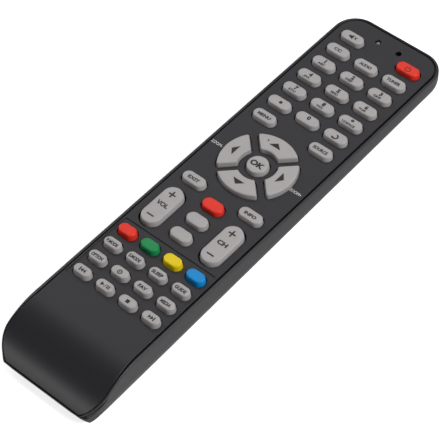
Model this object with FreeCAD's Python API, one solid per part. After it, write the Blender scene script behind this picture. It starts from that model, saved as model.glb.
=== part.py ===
import FreeCAD, Part
import math
import os

from FreeCAD import Placement, Rotation, Vector

# A hand-held TV remote control. All sizes are in millimetres and all angles in degrees.
# +X is to the right, +Y points at the far, infrared end and +Z comes out of the back's flat face.
# The fascia is tilted on the back, so the keys and the board are laid out in the fascia's own
# plane, where the origin is the middle of the arrow pad and z is the height above the fascia.

# Key grid, in the fascia's plane
WIDE_PITCH = 13.6
WIDE_ROW_PITCH = 9.08
MENU_ROW = 20.5
ROW_COUNT_ABOVE_MENU = 6
EXIT_ROW = -20.4
SHORTCUT_FIRST_ROW = -25.6
SHORTCUT_ROW_PITCH = 8.85
ROCKER_OUTSET = 0.8
ROCKER_Y = -37.3
COLOUR_ROW = -54.05
SMALL_PITCH = 0.8 * WIDE_PITCH
SMALL_ROW_PITCH = 7.95
SMALL_ROW_COUNT = 4

# Key sizes at the fascia
WIDE_KEY = (10.55, 5.3)
SHORTCUT_KEY = (9.5, 5.6)
COLOUR_KEY = (8.0, 4.95)
SMALL_KEY = (7.85, 4.55)
ROCKER_KEY = (9.0, 20.3)
OK_DIAMETER = 9.0
RING_INNER = 7.5
RING_OUTER = 15.7
RING_GAP = 3.2
RING_CORNER = 0.9
KEY_HEIGHT = 1.85
END_FLAT_COUNT = 5
RING_FLAT_COUNT = 3
DISC_FLAT_COUNT = 16
CAP_FLARE = 0.15
CAP_TAPER = 0.35
KEY_TRAVEL = 0.7
ROCK_ANGLE = 3.0

# Layers under the fascia
COVER_THICKNESS = 1.4
FLANGE_GAP = 0.2
FLANGE_THICKNESS = 0.5
FLANGE_MARGIN = 0.7
OK_FLANGE_MARGIN = 0.2
PILL_SIZE = 2.4
PILL_THICKNESS = 0.3
CONTACT_GAP = 0.15
MAT_THICKNESS = 1.0
BOARD_THICKNESS = 0.8

# Running and assembly clearances, and how far a cut starts before what it cuts
OVERCUT = 1.0
HAIR = 1e-6
KEY_GAP = 0.35
WELL_GAP = 0.25
SEAM_GAP = 0.3
SEAT_GAP = 0.1
DOOR_GAP = 0.15

# Case
SIDE_MARGIN = 3.83
FAR_MARGIN = 7.5
LAMP_ROW_STEP = 5.5
SLOPE_AFTER_KEYS = 16.6
SLOPE_RADIUS = 27.1
SLOPE_SWEEP = 61.88
STEEPEST = 85.0
FASCIA_TILT = 1.6
PLAN_CORNER = 10.2
BELLY_RADIUS = 9.4
WALL = 1.8
CAVITY_BEVEL = 5.0
EDGE_SET = 0.1
LIP_RIM = 0.45
RIB_THICKNESS = 1.2
RIB_REACH = 2.2
RIB_SPACING = 30.0
RIB_PAIR_COUNT = 5

# Pocket in the fascia round the small keys
POCKET_DEPTH = 0.35
POCKET_HALF_WIDTH = 21.8
POCKET_TOP = -49.3
POCKET_BELOW_KEYS = 1.5
POCKET_CORNER = 1.0

# Lamps and infrared parts
LAMP_X = 5.0
LAMP_HOLE = 2.4
LAMP_LENS = 1.9
LAMP_BEVEL = 0.38
LAMP_BASE = 2.9
LAMP_BASE_HEIGHT = 1.5
LAMP_SINK = 0.5
EMITTER_DIAMETER = 5.0
EMITTER_FLANGE = 5.8
EMITTER_FLANGE_THICKNESS = 0.7
EMITTER_BARREL = 4.0
EMITTER_DOME = 1.875
EMITTER_DROP = 0.5
LEAD = 0.5
LEAD_PITCH = 2.54
WINDOW_WIDTH = 16.0
WINDOW_BOTTOM = 2.6
WINDOW_TOP = 9.9
WINDOW_THICKNESS = 1.5

# Board
BOARD_SIDE_GAP = 0.3
BOARD_END_GAP = 1.8
BOARD_CORNER = 7.6
BOARD_BELOW_KEYS = 4.0
MAT_EDGE = 0.6
MAT_CORNER = 2.0
CHIP_WIDTH = 7.6
CHIP_LENGTH = 12.8
CHIP_HEIGHT = 1.9
CHIP_Y = 30.0
LEG_COUNT = 8
LEG_WIDTH = 0.5
LEG_REACH = 1.3

# Cells and their bay
CELL_DIAMETER = 10.5
CELL_FLAT_COUNT = 24
CELL_LENGTH = 44.5
NUB_DIAMETER = 3.8
NUB_LENGTH = 1.0
CELL_SPACING = 11.2
CELL_GAP = 0.15
SPRING_LENGTH = 4.6
SPRING_WIDE = 7.2
SPRING_NARROW = 4.8
SPRING_WIRE = 0.5
PLATE_THICKNESS = 0.4
PLATE_SIZE = 9.4
BAY_WALL = 1.2
BAY_ROOF = 0.7
BAY_SIDE_GAP = 0.35

# Battery door
DOOR_THICKNESS = 1.3
DOOR_HALF_WIDTH = 12.6
DOOR_ABOVE_BAY = 4.0
DOOR_NOSE_HEIGHT = 3.2
TONGUE_REACH = 0.8
TONGUE_THICKNESS = 0.6
END_TONGUE_WIDTH = 10.0
FRAME_THICKNESS = 1.2
FRAME_OVERLAP = 1.2
GRIP_WIDTH = 15.0
GRIP_GROOVE = 1.0
GRIP_DEPTH = 0.5
GRIP_PITCH = 2.2
GRIP_GROOVE_COUNT = 5
GRIP_FROM_EDGE = 6.0

# Case screws
FAR_SCREW = 72.6
NEAR_SCREW_FROM_END = 9.0
PILLAR_RADIUS = 3.4
PILLAR_TOP = 7.5
HEAD_DIAMETER = 4.2
HEAD_HEIGHT = 1.5
HEAD_BORE = 4.8
SHANK_DIAMETER = 2.0
SCREW_LENGTH = 7.5
SCREW_HOLE = 2.6
PILOT_HOLE = 2.3
BOSS_DIAMETER = 4.4
BOSS_HOLE_GAP = 0.4
SLOT_WIDTH = 0.6
SLOT_LENGTH = 2.6
SLOT_DEPTH = 0.7

# Layer heights, measured from the fascia
flange_top = -COVER_THICKNESS - FLANGE_GAP
flange_bottom = flange_top - FLANGE_THICKNESS
pill_bottom = flange_bottom - PILL_THICKNESS
board_top = pill_bottom - KEY_TRAVEL - CONTACT_GAP
board_bottom = board_top - BOARD_THICKNESS
mat_top = board_top + MAT_THICKNESS

# The rockers tip about a ridge just over the board, so their openings are a little wider
rock = math.radians(ROCK_ANGLE)
ridge_height = board_top + CONTACT_GAP
rocker_gap = KEY_GAP - ridge_height * math.sin(rock)
lug_half_length = PILL_SIZE / 2 + FLANGE_MARGIN
lug_top = flange_top - lug_half_length * math.sin(rock)

# Places along the fascia
top_row = MENU_ROW + ROW_COUNT_ABOVE_MENU * WIDE_ROW_PITCH
last_row = COLOUR_ROW - (SMALL_ROW_COUNT - 1) * SMALL_ROW_PITCH
lamp_row = top_row + LAMP_ROW_STEP
far_edge = lamp_row + FAR_MARGIN
slope_start = last_row - SLOPE_AFTER_KEYS

# The case's plan, from the key grid
case_half_width = 1.5 * SMALL_PITCH + COLOUR_KEY[0] / 2 + SIDE_MARGIN
slope_run = SLOPE_RADIUS * math.sin(math.radians(SLOPE_SWEEP))
case_length = far_edge - slope_start + slope_run
far_end = case_length / 2
near_end = -case_length / 2
pad_y = far_end - far_edge
belly = min(BELLY_RADIUS, PLAN_CORNER - WALL / 3)

# Bay and door, from the near end upwards
near_screw = near_end + NEAR_SCREW_FROM_END
cell_stack = CELL_LENGTH + SPRING_LENGTH + 2 * PLATE_THICKNESS + 4 * SEAT_GAP
bay_near = near_screw + PILLAR_RADIUS + 2 * BAY_WALL
bay_far = bay_near + cell_stack
door_far = bay_far + DOOR_ABOVE_BAY
bay_half_width = CELL_SPACING / 2 + CELL_DIAMETER / 2 + BAY_SIDE_GAP
cell_z = DOOR_THICKNESS + CELL_GAP + CELL_DIAMETER / 2
roof_bottom = DOOR_THICKNESS + 2 * CELL_GAP + CELL_DIAMETER
roof_top = roof_bottom + BAY_ROOF
frame_bottom = DOOR_THICKNESS + DOOR_GAP

# The case is as deep over the bay's far wall as the cells, the board and the keys need
tilt = math.radians(FASCIA_TILT)
depth_at_bay = roof_top + SEAT_GAP - board_bottom
fascia_height = depth_at_bay - (pad_y - bay_far - BAY_WALL) * math.tan(tilt)
fascia_plane = Placement(Vector(0, pad_y, fascia_height), Rotation(Vector(1, 0, 0), -FASCIA_TILT))

# The near end's slope is an arc about this point; it meets the belly's curve at the lip
slope_centre = fascia_plane.multVec(Vector(0, slope_start, -SLOPE_RADIUS))
lip_lean = math.asin((slope_centre.y - near_end) / SLOPE_RADIUS)
lip_height = slope_centre.z + SLOPE_RADIUS * math.cos(lip_lean)
lip_drop = max(belly - lip_height, 0)
nose_overrun = belly - math.sqrt(belly ** 2 - lip_drop ** 2)
cover_end = lip_lean + tilt - (LIP_RIM + SEAM_GAP) / SLOPE_RADIUS

# Longer than the case, for shapes that only cut
span = 2 * case_length


# Plain shapes

def box(x0, x1, y0, y1, z0, z1):
    return Part.makeBox(x1 - x0, y1 - y0, z1 - z0, Vector(x0, y0, z0))


def arc_points(x, y, radius, start, sweep, flats):
    """Points along an arc, in equal steps. Angles are in degrees."""
    angles = [math.radians(start + sweep * step / flats) for step in range(flats + 1)]
    return [Vector(x + radius * math.cos(angle), y + radius * math.sin(angle), 0) for angle in angles]


def rounded_wire(x, y, width, height, radius):
    """A rectangle with round corners about (x, y)."""
    radius = min(radius, width / 2, height / 2)
    a = width / 2 - radius
    b = height / 2 - radius
    corners = [arc_points(x + way_x * a, y + way_y * b, radius, 90 * step, 90, 2)
               for step, (way_x, way_y) in enumerate(((1, 1), (-1, 1), (-1, -1), (1, -1)))]
    edges = []
    for corner, following in zip(corners, corners[1:] + corners[:1]):
        edges.append(Part.Arc(*corner).toShape())
        if corner[2].distanceToPoint(following[0]) > HAIR:
            edges.append(Part.LineSegment(corner[2], following[0]).toShape())
    return Part.Wire(edges)


def flat_face(points):
    return Part.Face(Part.makePolygon(points + points[:1]))


def stadium(x, y, width, height):
    """A key's outline: two half rounds, each drawn in a few equal flats, and two straight sides."""
    radius = min(width, height) / 2
    a = width / 2 - radius
    b = height / 2 - radius
    start = 90 if height > width else 0
    points = []
    for sign, turn in ((1, start), (-1, start + 180)):
        points += arc_points(x + sign * a, y + sign * b, radius, turn - 90, 180, END_FLAT_COUNT)
    return points


def disc(x, y, diameter, flats=DISC_FLAT_COUNT):
    return arc_points(x, y, diameter / 2, 0, 360, flats)[:-1]


def prism(outline, z0, z1):
    """Extrude a wire, or a list of corner points, from one height to another."""
    face = flat_face(outline) if isinstance(outline, list) else Part.Face(outline)
    face.translate(Vector(0, 0, z0))
    return face.extrude(Vector(0, 0, z1 - z0))


def drafted(lower, z0, upper, z1):
    """A solid with sloping flat sides between two outlines that have as many points each."""
    foot = [point + Vector(0, 0, z0) for point in lower]
    top = [point + Vector(0, 0, z1) for point in upper]
    faces = [flat_face(foot), flat_face(top)]
    for i in range(len(foot)):
        faces.append(flat_face([foot[i - 1], foot[i], top[i], top[i - 1]]))
    return Part.Solid(Part.Shell(faces))


def post(x, y, diameter, z0, z1):
    return prism(disc(x, y, diameter), z0, z1)


def ring_outline(turn, inset):
    """One arrow key's outline, drawn at +Y and turned: two arcs, and sides along the diagonals."""
    corner = max(RING_CORNER - inset, RING_CORNER / 3)
    side = RING_GAP / 2 + inset + corner
    inner = RING_INNER + inset
    outer = RING_OUTER - inset

    def corner_centre(distance):
        lean = math.degrees(math.asin(side / distance))
        return 45 + lean, arc_points(0, 0, distance, 45 + lean, 0, 1)[0]

    inner_turn, inner_centre = corner_centre(inner + corner)
    outer_turn, outer_centre = corner_centre(outer - corner)
    right = arc_points(inner_centre.x, inner_centre.y, corner, inner_turn + 180, 135 - inner_turn, 2)
    right += arc_points(outer_centre.x, outer_centre.y, corner, -45, outer_turn + 45, 2)
    right += arc_points(0, 0, outer, outer_turn, 90 - outer_turn, RING_FLAT_COUNT)[1:]
    inside = arc_points(0, 0, inner, inner_turn, 90 - inner_turn, RING_FLAT_COUNT)[1:-1]
    left = [Vector(-point.x, point.y, 0) for point in reversed(right[:-1])]
    across = [Vector(-point.x, point.y, 0) for point in inside]
    points = right + left + across + [Vector(0, inner, 0)] + list(reversed(inside))
    return [Rotation(Vector(0, 0, 1), turn).multVec(point) for point in points]


def on_fascia(shape):
    """Carry a shape from the fascia's own plane to its place in the case."""
    placed = shape.copy()
    placed.Placement = fascia_plane.multiply(placed.Placement)
    return placed


# The case's outer form

def plan_wire(inset, run_on):
    """The case's plan moved inwards by inset. Its near end may run on past the case's own."""
    near = near_end - nose_overrun + inset - run_on
    far = far_end - inset
    return rounded_wire(0, (near + far) / 2, 2 * (case_half_width - inset), far - near, PLAN_CORNER - inset)


def plan_prism(inset):
    return prism(plan_wire(inset, 0), -OVERCUT, 2 * fascia_height)


def case_form(inset, soften):
    """The case moved inwards by inset, before its top is cut. Soften works on its lower edges."""
    def softened(block, reach):
        rim = [edge for edge in block.Edges
               if edge.BoundBox.ZMax < inset + HAIR and edge.BoundBox.YMax < reach]
        return soften(block, rim)

    # The sides run on past the near end and the nose runs on past the sides, so their rounds meet
    sides = softened(prism(plan_wire(inset, 2 * PLAN_CORNER), inset, 2 * fascia_height), span)
    near = near_end - nose_overrun + inset
    nose = softened(box(-span, span, near, span, inset, 2 * fascia_height), near + HAIR)
    return sides.common(nose).common(plan_prism(inset))


def envelope(inset):
    """The outer form, with a round belly."""
    return case_form(inset, lambda block, rim: block.makeFillet(belly - inset, rim))


def cavity(inset):
    """The room inside the case: like the outer form, with a plain bevel for the belly."""
    return case_form(inset, lambda block, rim: block.makeChamfer(CAVITY_BEVEL, rim))


def fascia_layer(above, below, end_angle):
    """A layer that follows the fascia and its slope, between two heights, as far as end_angle."""
    def slope_point(height, angle):
        radius = SLOPE_RADIUS + height
        return Vector(-span / 2, slope_start - radius * math.sin(angle),
                      radius * math.cos(angle) - SLOPE_RADIUS)

    def far_point(height):
        return Vector(-span / 2, far_edge + slope_run, height)

    def slope_arc(height, start, end):
        return Part.Arc(*[slope_point(height, angle) for angle in (start, end_angle / 2, end)])

    edges = [
        Part.LineSegment(far_point(above), slope_point(above, 0)),
        slope_arc(above, 0, end_angle),
        Part.LineSegment(slope_point(above, end_angle), slope_point(below, end_angle)),
        slope_arc(below, end_angle, 0),
        Part.LineSegment(slope_point(below, 0), far_point(below)),
        Part.LineSegment(far_point(below), far_point(above)),
    ]
    wire = Part.Wire([edge.toShape() for edge in edges])
    return on_fascia(Part.Face(wire).extrude(Vector(span, 0, 0)))


def under_fascia(depth):
    """Everything that lies deeper than depth below the fascia and its slope."""
    return fascia_layer(-depth, -SLOPE_RADIUS + OVERCUT, math.radians(STEEPEST))


# Keys

def key_table():
    """Name, kind, x and y of every key that is pressed straight in, apart from the arrow pad."""
    keys = []

    def row(kind, pitch, y, names):
        first = -pitch * (len(names) - 1) / 2
        for column, name in enumerate(names):
            if name:
                keys.append(("key_" + name, kind, first + column * pitch, y))

    wide_rows = (
        ("mute", "", "power"),
        ("captions", "audio", "tuner"),
        ("1", "2", "3"),
        ("4", "5", "6"),
        ("7", "8", "9"),
        ("dash", "0", "return"),
        ("menu", "", "source"),
    )
    for step, names in enumerate(wide_rows):
        row(WIDE_KEY, WIDE_PITCH, top_row - step * WIDE_ROW_PITCH, names)
    row(WIDE_KEY, WIDE_PITCH, EXIT_ROW, ("exit", "", "info"))
    for step in range(3):
        row(SHORTCUT_KEY, 0, SHORTCUT_FIRST_ROW - step * SHORTCUT_ROW_PITCH, ("shortcut_%d" % (step + 1),))
    small_rows = (
        ("red", "green", "yellow", "blue"),
        ("picture", "sound", "sleep", "guide"),
        ("option", "display", "favourite", "media"),
        ("previous", "play_pause", "stop", "next"),
    )
    for step, names in enumerate(small_rows):
        kind = SMALL_KEY if step else COLOUR_KEY
        row(kind, SMALL_PITCH, COLOUR_ROW - step * SMALL_ROW_PITCH, names)
    return keys


ARROWS = (("key_up", 0), ("key_left", 90), ("key_down", 180), ("key_right", 270))
ROCKERS = (("key_volume", -WIDE_PITCH - ROCKER_OUTSET), ("key_channel", WIDE_PITCH + ROCKER_OUTSET))


def slab(x, y, width, height, margin, z0, z1):
    half_x = width / 2 + margin
    half_y = height / 2 + margin
    return box(x - half_x, x + half_x, y - half_y, y + half_y, z0, z1)


def pill_block(x, y):
    return slab(x, y, PILL_SIZE, PILL_SIZE, 0, pill_bottom, flange_bottom)


def straight_key(x, y, width, height):
    lower = stadium(x, y, width + 2 * CAP_FLARE, height + 2 * CAP_FLARE)
    upper = stadium(x, y, width - 2 * CAP_TAPER, height - 2 * CAP_TAPER)
    cap = drafted(lower, flange_top, upper, KEY_HEIGHT)
    flange = slab(x, y, width, height, FLANGE_MARGIN, flange_bottom, flange_top)
    return on_fascia(cap.fuse([flange, pill_block(x, y)]).removeSplitter())


def ok_key():
    cap = drafted(disc(0, 0, OK_DIAMETER + 2 * CAP_FLARE), flange_top,
                  disc(0, 0, OK_DIAMETER - 2 * CAP_TAPER), KEY_HEIGHT)
    flange = slab(0, 0, OK_DIAMETER, OK_DIAMETER, OK_FLANGE_MARGIN, flange_bottom, flange_top)
    return on_fascia(cap.fuse([flange, pill_block(0, 0)]).removeSplitter())


def arrow_key(turn):
    cap = drafted(ring_outline(turn, -CAP_FLARE), flange_top, ring_outline(turn, CAP_TAPER), KEY_HEIGHT)
    flange = prism(ring_outline(turn, -FLANGE_MARGIN), flange_bottom, flange_top)
    middle = Vector(0, (RING_INNER + RING_OUTER) / 2, 0)
    place = Rotation(Vector(0, 0, 1), turn).multVec(middle)
    return on_fascia(cap.fuse([flange, pill_block(place.x, place.y)]).removeSplitter())


def rocker_key(x):
    """A long key that rocks on a ridge; only its middle has lugs, so its ends can rise."""
    width, length = ROCKER_KEY
    cap = drafted(stadium(x, ROCKER_Y, width + CAP_FLARE, length + CAP_FLARE), flange_bottom,
                  stadium(x, ROCKER_Y, width - 2 * CAP_TAPER, length - 2 * CAP_TAPER), KEY_HEIGHT)
    lugs = slab(x, ROCKER_Y, width, PILL_SIZE, FLANGE_MARGIN, flange_bottom, lug_top)
    ridge = slab(x, ROCKER_Y, width / 2, PILL_THICKNESS, PILL_THICKNESS, ridge_height, flange_bottom)
    reach = length / 2 - PILL_SIZE
    pills = [pill_block(x, ROCKER_Y + reach), pill_block(x, ROCKER_Y - reach)]
    return on_fascia(cap.fuse([lugs, ridge] + pills).removeSplitter())


def key_openings(z0, z1):
    """One prism for every key, a running gap wider than the key's cap all round."""
    holes = []
    for name, (width, height), x, y in key_table():
        holes.append(prism(stadium(x, y, width + 2 * KEY_GAP, height + 2 * KEY_GAP), z0, z1))
    for name, x in ROCKERS:
        width, length = ROCKER_KEY
        holes.append(prism(stadium(x, ROCKER_Y, width + 2 * rocker_gap, length + 2 * rocker_gap), z0, z1))
    for name, turn in ARROWS:
        holes.append(prism(ring_outline(turn, -KEY_GAP), z0, z1))
    holes.append(post(0, 0, OK_DIAMETER + 2 * KEY_GAP, z0, z1))
    return holes


def key_wells(z0, z1):
    """The mat's wells: each clears its key's square flange."""
    margin = FLANGE_MARGIN + WELL_GAP
    wells = [slab(x, y, width, height, margin, z0, z1) for name, (width, height), x, y in key_table()]
    for name, x in ROCKERS:
        width, length = ROCKER_KEY
        wells.append(slab(x, ROCKER_Y, width, length, margin, z0, z1))
    for name, turn in ARROWS:
        wells.append(prism(ring_outline(turn, -margin), z0, z1))
    wells.append(slab(0, 0, OK_DIAMETER, OK_DIAMETER, OK_FLANGE_MARGIN + WELL_GAP, z0, z1))
    return wells


# Case halves

def screw_places():
    far = fascia_plane.multVec(Vector(0, FAR_SCREW, 0)).y
    return ((far, DOOR_THICKNESS + HEAD_HEIGHT / 2), (near_screw, frame_bottom + HEAD_HEIGHT))


def top_cover():
    """A lid that lies on the side walls and ends just short of the shell's thin lip."""
    cover = plan_prism(EDGE_SET).common(fascia_layer(0, -COVER_THICKNESS, cover_end))
    cuts = key_openings(-2 * COVER_THICKNESS, COVER_THICKNESS)
    for side in (-LAMP_X, LAMP_X):
        cuts.append(post(side, lamp_row, LAMP_HOLE, -2 * COVER_THICKNESS, COVER_THICKNESS))
    pocket_bottom = last_row - SMALL_KEY[1] / 2 - POCKET_BELOW_KEYS
    middle = (POCKET_TOP + pocket_bottom) / 2
    outline = rounded_wire(0, middle, 2 * POCKET_HALF_WIDTH, POCKET_TOP - pocket_bottom, POCKET_CORNER)
    cuts.append(prism(outline, -POCKET_DEPTH, COVER_THICKNESS))
    cover = cover.cut([on_fascia(cut) for cut in cuts])
    bosses = []
    for y, seat in screw_places():
        boss = post(0, y, BOSS_DIAMETER, PILLAR_TOP + SEAT_GAP, 2 * fascia_height)
        bosses.append(boss.common(under_fascia(COVER_THICKNESS / 2)))
    cover = cover.fuse(bosses)
    pilots = []
    for y, seat in screw_places():
        pilots.append(post(0, y, PILOT_HOLE, 0, seat + SCREW_LENGTH + SEAT_GAP))
    return cover.cut(pilots)


def bay_block():
    """The cell bay's walls and roof, standing on the frame behind the door."""
    half = bay_half_width + BAY_WALL
    return box(-half, half, bay_near - BAY_WALL, bay_far + BAY_WALL, frame_bottom, roof_top)


def door_space(gap, top):
    """The room that the door takes in the case's skin, wider than the door by gap."""
    half = DOOR_HALF_WIDTH + gap
    return box(-half, half, -span, door_far + gap, -OVERCUT, top + gap)


def tongues(gap):
    """The strips on the door's edges that run in the case's grooves."""
    reach = DOOR_HALF_WIDTH + TONGUE_REACH + gap
    bottom = DOOR_THICKNESS - TONGUE_THICKNESS - gap
    top = DOOR_THICKNESS + gap
    near = -span if gap else bay_near
    side = box(-reach, reach, near, door_far - TONGUE_REACH, bottom, top)
    end = box(-END_TONGUE_WIDTH / 2 - gap, END_TONGUE_WIDTH / 2 + gap,
              door_far - TONGUE_REACH, door_far + TONGUE_REACH + gap, bottom, top)
    return [side, end]


def rear_shell():
    shell = envelope(0).common(under_fascia(0)).cut(cavity(WALL))
    rebate_depth = COVER_THICKNESS + SEAT_GAP
    rebate_end = cover_end + SEAM_GAP / SLOPE_RADIUS
    shell = shell.cut(fascia_layer(COVER_THICKNESS, -rebate_depth, rebate_end))

    inside = envelope(WALL / 2)
    frame_half = DOOR_HALF_WIDTH + FRAME_OVERLAP
    frame = envelope(frame_bottom).cut(cavity(frame_bottom + FRAME_THICKNESS))
    frame = frame.common(box(-frame_half, frame_half, -span, door_far + FRAME_OVERLAP, 0, lip_height))
    additions = [frame, bay_block()]
    for y, seat in screw_places():
        additions.append(post(0, y, 2 * PILLAR_RADIUS, frame_bottom, PILLAR_TOP).common(inside))
    for pair in range(RIB_PAIR_COUNT):
        y = far_edge - BOARD_END_GAP - WALL - PLAN_CORNER - pair * RIB_SPACING
        for side in (-1, 1):
            outer = side * case_half_width
            inner = side * (case_half_width - WALL - RIB_REACH)
            rib = box(min(outer, inner), max(outer, inner), y - RIB_THICKNESS, y,
                      -fascia_height - WALL, board_bottom - SEAT_GAP)
            additions.append(on_fascia(rib).common(inside))
    shell = shell.fuse(additions)

    bay = box(-bay_half_width, bay_half_width, bay_near, bay_far, -OVERCUT, roof_bottom)
    door_recess = door_space(DOOR_GAP, DOOR_NOSE_HEIGHT).cut(envelope(frame_bottom))
    cuts = [bay, door_recess] + tongues(DOOR_GAP)
    for y, seat in screw_places():
        cuts.append(post(0, y, SCREW_HOLE, 0, PILLAR_TOP + OVERCUT))
        cuts.append(post(0, y, HEAD_BORE, -OVERCUT, seat))
    cuts.append(window_space(DOOR_GAP))
    return shell.cut(cuts)


def battery_door():
    """A piece of the case's own skin, so it carries on the back's flat and the nose's curve."""
    skin = envelope(0).cut(envelope(DOOR_THICKNESS))
    door = skin.common(door_space(0, DOOR_NOSE_HEIGHT)).fuse(
        [tongue.common(envelope(0)) for tongue in tongues(0)])
    grooves = []
    for step in range(GRIP_GROOVE_COUNT):
        y = door_far - GRIP_FROM_EDGE - step * GRIP_PITCH
        grooves.append(box(-GRIP_WIDTH / 2, GRIP_WIDTH / 2, y - GRIP_GROOVE, y, -OVERCUT, GRIP_DEPTH))
    return door.cut(grooves)


def window_space(gap):
    half = WINDOW_WIDTH / 2 + gap
    return box(-half, half, far_end - PLAN_CORNER, far_end + OVERCUT,
               WINDOW_BOTTOM - gap, WINDOW_TOP + gap)


def infrared_window():
    skin = envelope(0).cut(envelope(WINDOW_THICKNESS))
    return skin.common(window_space(0))


# Inner parts

def circuit_board():
    half = case_half_width - WALL - BOARD_SIDE_GAP
    far = far_edge - WALL - BOARD_END_GAP
    near = last_row - SMALL_KEY[1] / 2 - BOARD_BELOW_KEYS
    plan = rounded_wire(0, (near + far) / 2, 2 * half, far - near, BOARD_CORNER)
    board = prism(plan, board_bottom, board_top)
    return on_fascia(board.cut(boss_hole(board_bottom - OVERCUT, board_top + OVERCUT)))


def boss_hole(z0, z1):
    return post(0, FAR_SCREW, BOSS_DIAMETER + 2 * BOSS_HOLE_GAP, z0, z1)


def keypad_mat():
    half = 1.5 * SMALL_PITCH + COLOUR_KEY[0] / 2 + FLANGE_MARGIN + WELL_GAP + MAT_EDGE
    far = top_row + WIDE_KEY[1] / 2 + FLANGE_MARGIN + WELL_GAP + MAT_EDGE
    near = last_row - SMALL_KEY[1] / 2 - FLANGE_MARGIN - WELL_GAP - MAT_EDGE
    plan = rounded_wire(0, (near + far) / 2, 2 * half, far - near, MAT_CORNER)
    mat = prism(plan, board_top, mat_top)
    low, high = board_top - OVERCUT, mat_top + OVERCUT
    lamp_notch = post(-LAMP_X, lamp_row, LAMP_BASE + 2 * WELL_GAP, low, high)
    cuts = key_wells(low, high) + [boss_hole(low, high), lamp_notch]
    return on_fascia(mat.cut(cuts))


def controller_chip():
    bottom = board_bottom - CHIP_HEIGHT
    body = slab(0, CHIP_Y, CHIP_WIDTH, CHIP_LENGTH, 0, bottom, board_bottom - SEAT_GAP)
    legs = []
    for step in range(LEG_COUNT):
        y = CHIP_Y + (step - (LEG_COUNT - 1) / 2) * CHIP_LENGTH / (LEG_COUNT + 1)
        legs.append(slab(0, y, CHIP_WIDTH + 2 * LEG_REACH, LEG_WIDTH, 0,
                         board_bottom - LEG_WIDTH, board_bottom))
    return on_fascia(body.fuse(legs).removeSplitter())


def indicator_lamp():
    shoulder = board_top + LAMP_BASE_HEIGHT
    base = post(-LAMP_X, lamp_row, LAMP_BASE, board_top, shoulder)
    tip_foot = -LAMP_SINK - LAMP_BEVEL
    lens = post(-LAMP_X, lamp_row, LAMP_LENS, shoulder, tip_foot)
    tip = drafted(disc(-LAMP_X, lamp_row, LAMP_LENS), tip_foot,
                  disc(-LAMP_X, lamp_row, LAMP_LENS - 2 * LAMP_BEVEL), -LAMP_SINK)
    return on_fascia(base.fuse([lens, tip]))


def emitter_height():
    """Height of the emitter's axis: its barrel hangs just under the board's far edge."""
    edge = fascia_plane.multVec(Vector(0, far_edge - WALL, board_bottom))
    return edge.z - EMITTER_DROP - EMITTER_DIAMETER / 2


def infrared_emitter():
    """A round lamp that lies under the board and looks out of the far end."""
    z = emitter_height()
    radius = EMITTER_DIAMETER / 2
    belly_y = far_end - belly
    sweep = math.sqrt((belly - WALL - SEAM_GAP - radius) ** 2 - (belly - z) ** 2)
    dome_y = belly_y + sweep
    start = dome_y - EMITTER_BARREL
    flange = post(0, 0, EMITTER_FLANGE, 0, EMITTER_FLANGE_THICKNESS)
    barrel = post(0, 0, EMITTER_DIAMETER, EMITTER_FLANGE_THICKNESS, EMITTER_BARREL)
    dome = drafted(disc(0, 0, EMITTER_DIAMETER), EMITTER_BARREL,
                   disc(0, 0, EMITTER_DIAMETER / 2), EMITTER_BARREL + EMITTER_DOME)
    lamp = flange.fuse([barrel, dome])
    lamp.Placement = Placement(Vector(0, start, z), Rotation(Vector(0, 0, 1), Vector(0, 1, 0)))
    leads = []
    for side in (-1, 1):
        x = side * LEAD_PITCH / 2
        board = fascia_plane.multVec(Vector(0, start - pad_y, board_bottom)).z
        leads.append(box(x - LEAD / 2, x + LEAD / 2, start - 2 * LEAD, start, z - LEAD / 2, z + LEAD / 2))
        leads.append(box(x - LEAD / 2, x + LEAD / 2, start - 2 * LEAD, start - LEAD,
                         z - LEAD / 2, board - SEAT_GAP))
    return lamp.fuse(leads)


def cell_places():
    """x of each cell and the way that its nub points along y."""
    return ((-CELL_SPACING / 2, 1), (CELL_SPACING / 2, -1))


def along_bay(way, from_contact):
    """y at a distance from the bay wall that carries the flat contact, for a cell pointing way."""
    return bay_far - from_contact if way > 0 else bay_near + from_contact


def batteries():
    cells = []
    nub_tip = SEAT_GAP + PLATE_THICKNESS + SEAT_GAP
    for x, way in cell_places():
        tail = along_bay(way, nub_tip + CELL_LENGTH)
        cell = prism(disc(0, 0, CELL_DIAMETER, CELL_FLAT_COUNT), 0, CELL_LENGTH - NUB_LENGTH)
        cell = cell.fuse(post(0, 0, NUB_DIAMETER, CELL_LENGTH - NUB_LENGTH, CELL_LENGTH))
        cell.Placement = Placement(Vector(x, tail, cell_z), Rotation(Vector(0, 0, 1), Vector(0, way, 0)))
        cells.append(cell)
    return Part.makeCompound(cells)


def contact_plate(x, y, way):
    half = PLATE_SIZE / 2
    inner = y - way * PLATE_THICKNESS
    return box(x - half, x + half, min(y, inner), max(y, inner), cell_z - half, cell_z + half)


def battery_contacts():
    plates = [contact_plate(x, along_bay(way, SEAT_GAP), way) for x, way in cell_places()]
    return Part.makeCompound(plates)


def battery_springs():
    """Conical springs drawn as thin cones in flats, each on its square plate."""
    springs = []
    for x, way in cell_places():
        wall_y = along_bay(-way, SEAT_GAP)
        base = Vector(x, wall_y + way * PLATE_THICKNESS, cell_z)
        cone = drafted(disc(0, 0, SPRING_WIDE), 0, disc(0, 0, SPRING_NARROW), SPRING_LENGTH)
        bore = drafted(disc(0, 0, SPRING_WIDE - 2 * SPRING_WIRE), 0,
                       disc(0, 0, SPRING_NARROW - 2 * SPRING_WIRE), SPRING_LENGTH)
        cone = cone.cut(bore)
        cone.Placement = Placement(base, Rotation(Vector(0, 0, 1), Vector(0, way, 0)))
        springs.append(contact_plate(x, wall_y, -way).fuse(cone))
    return Part.makeCompound(springs)


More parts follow.
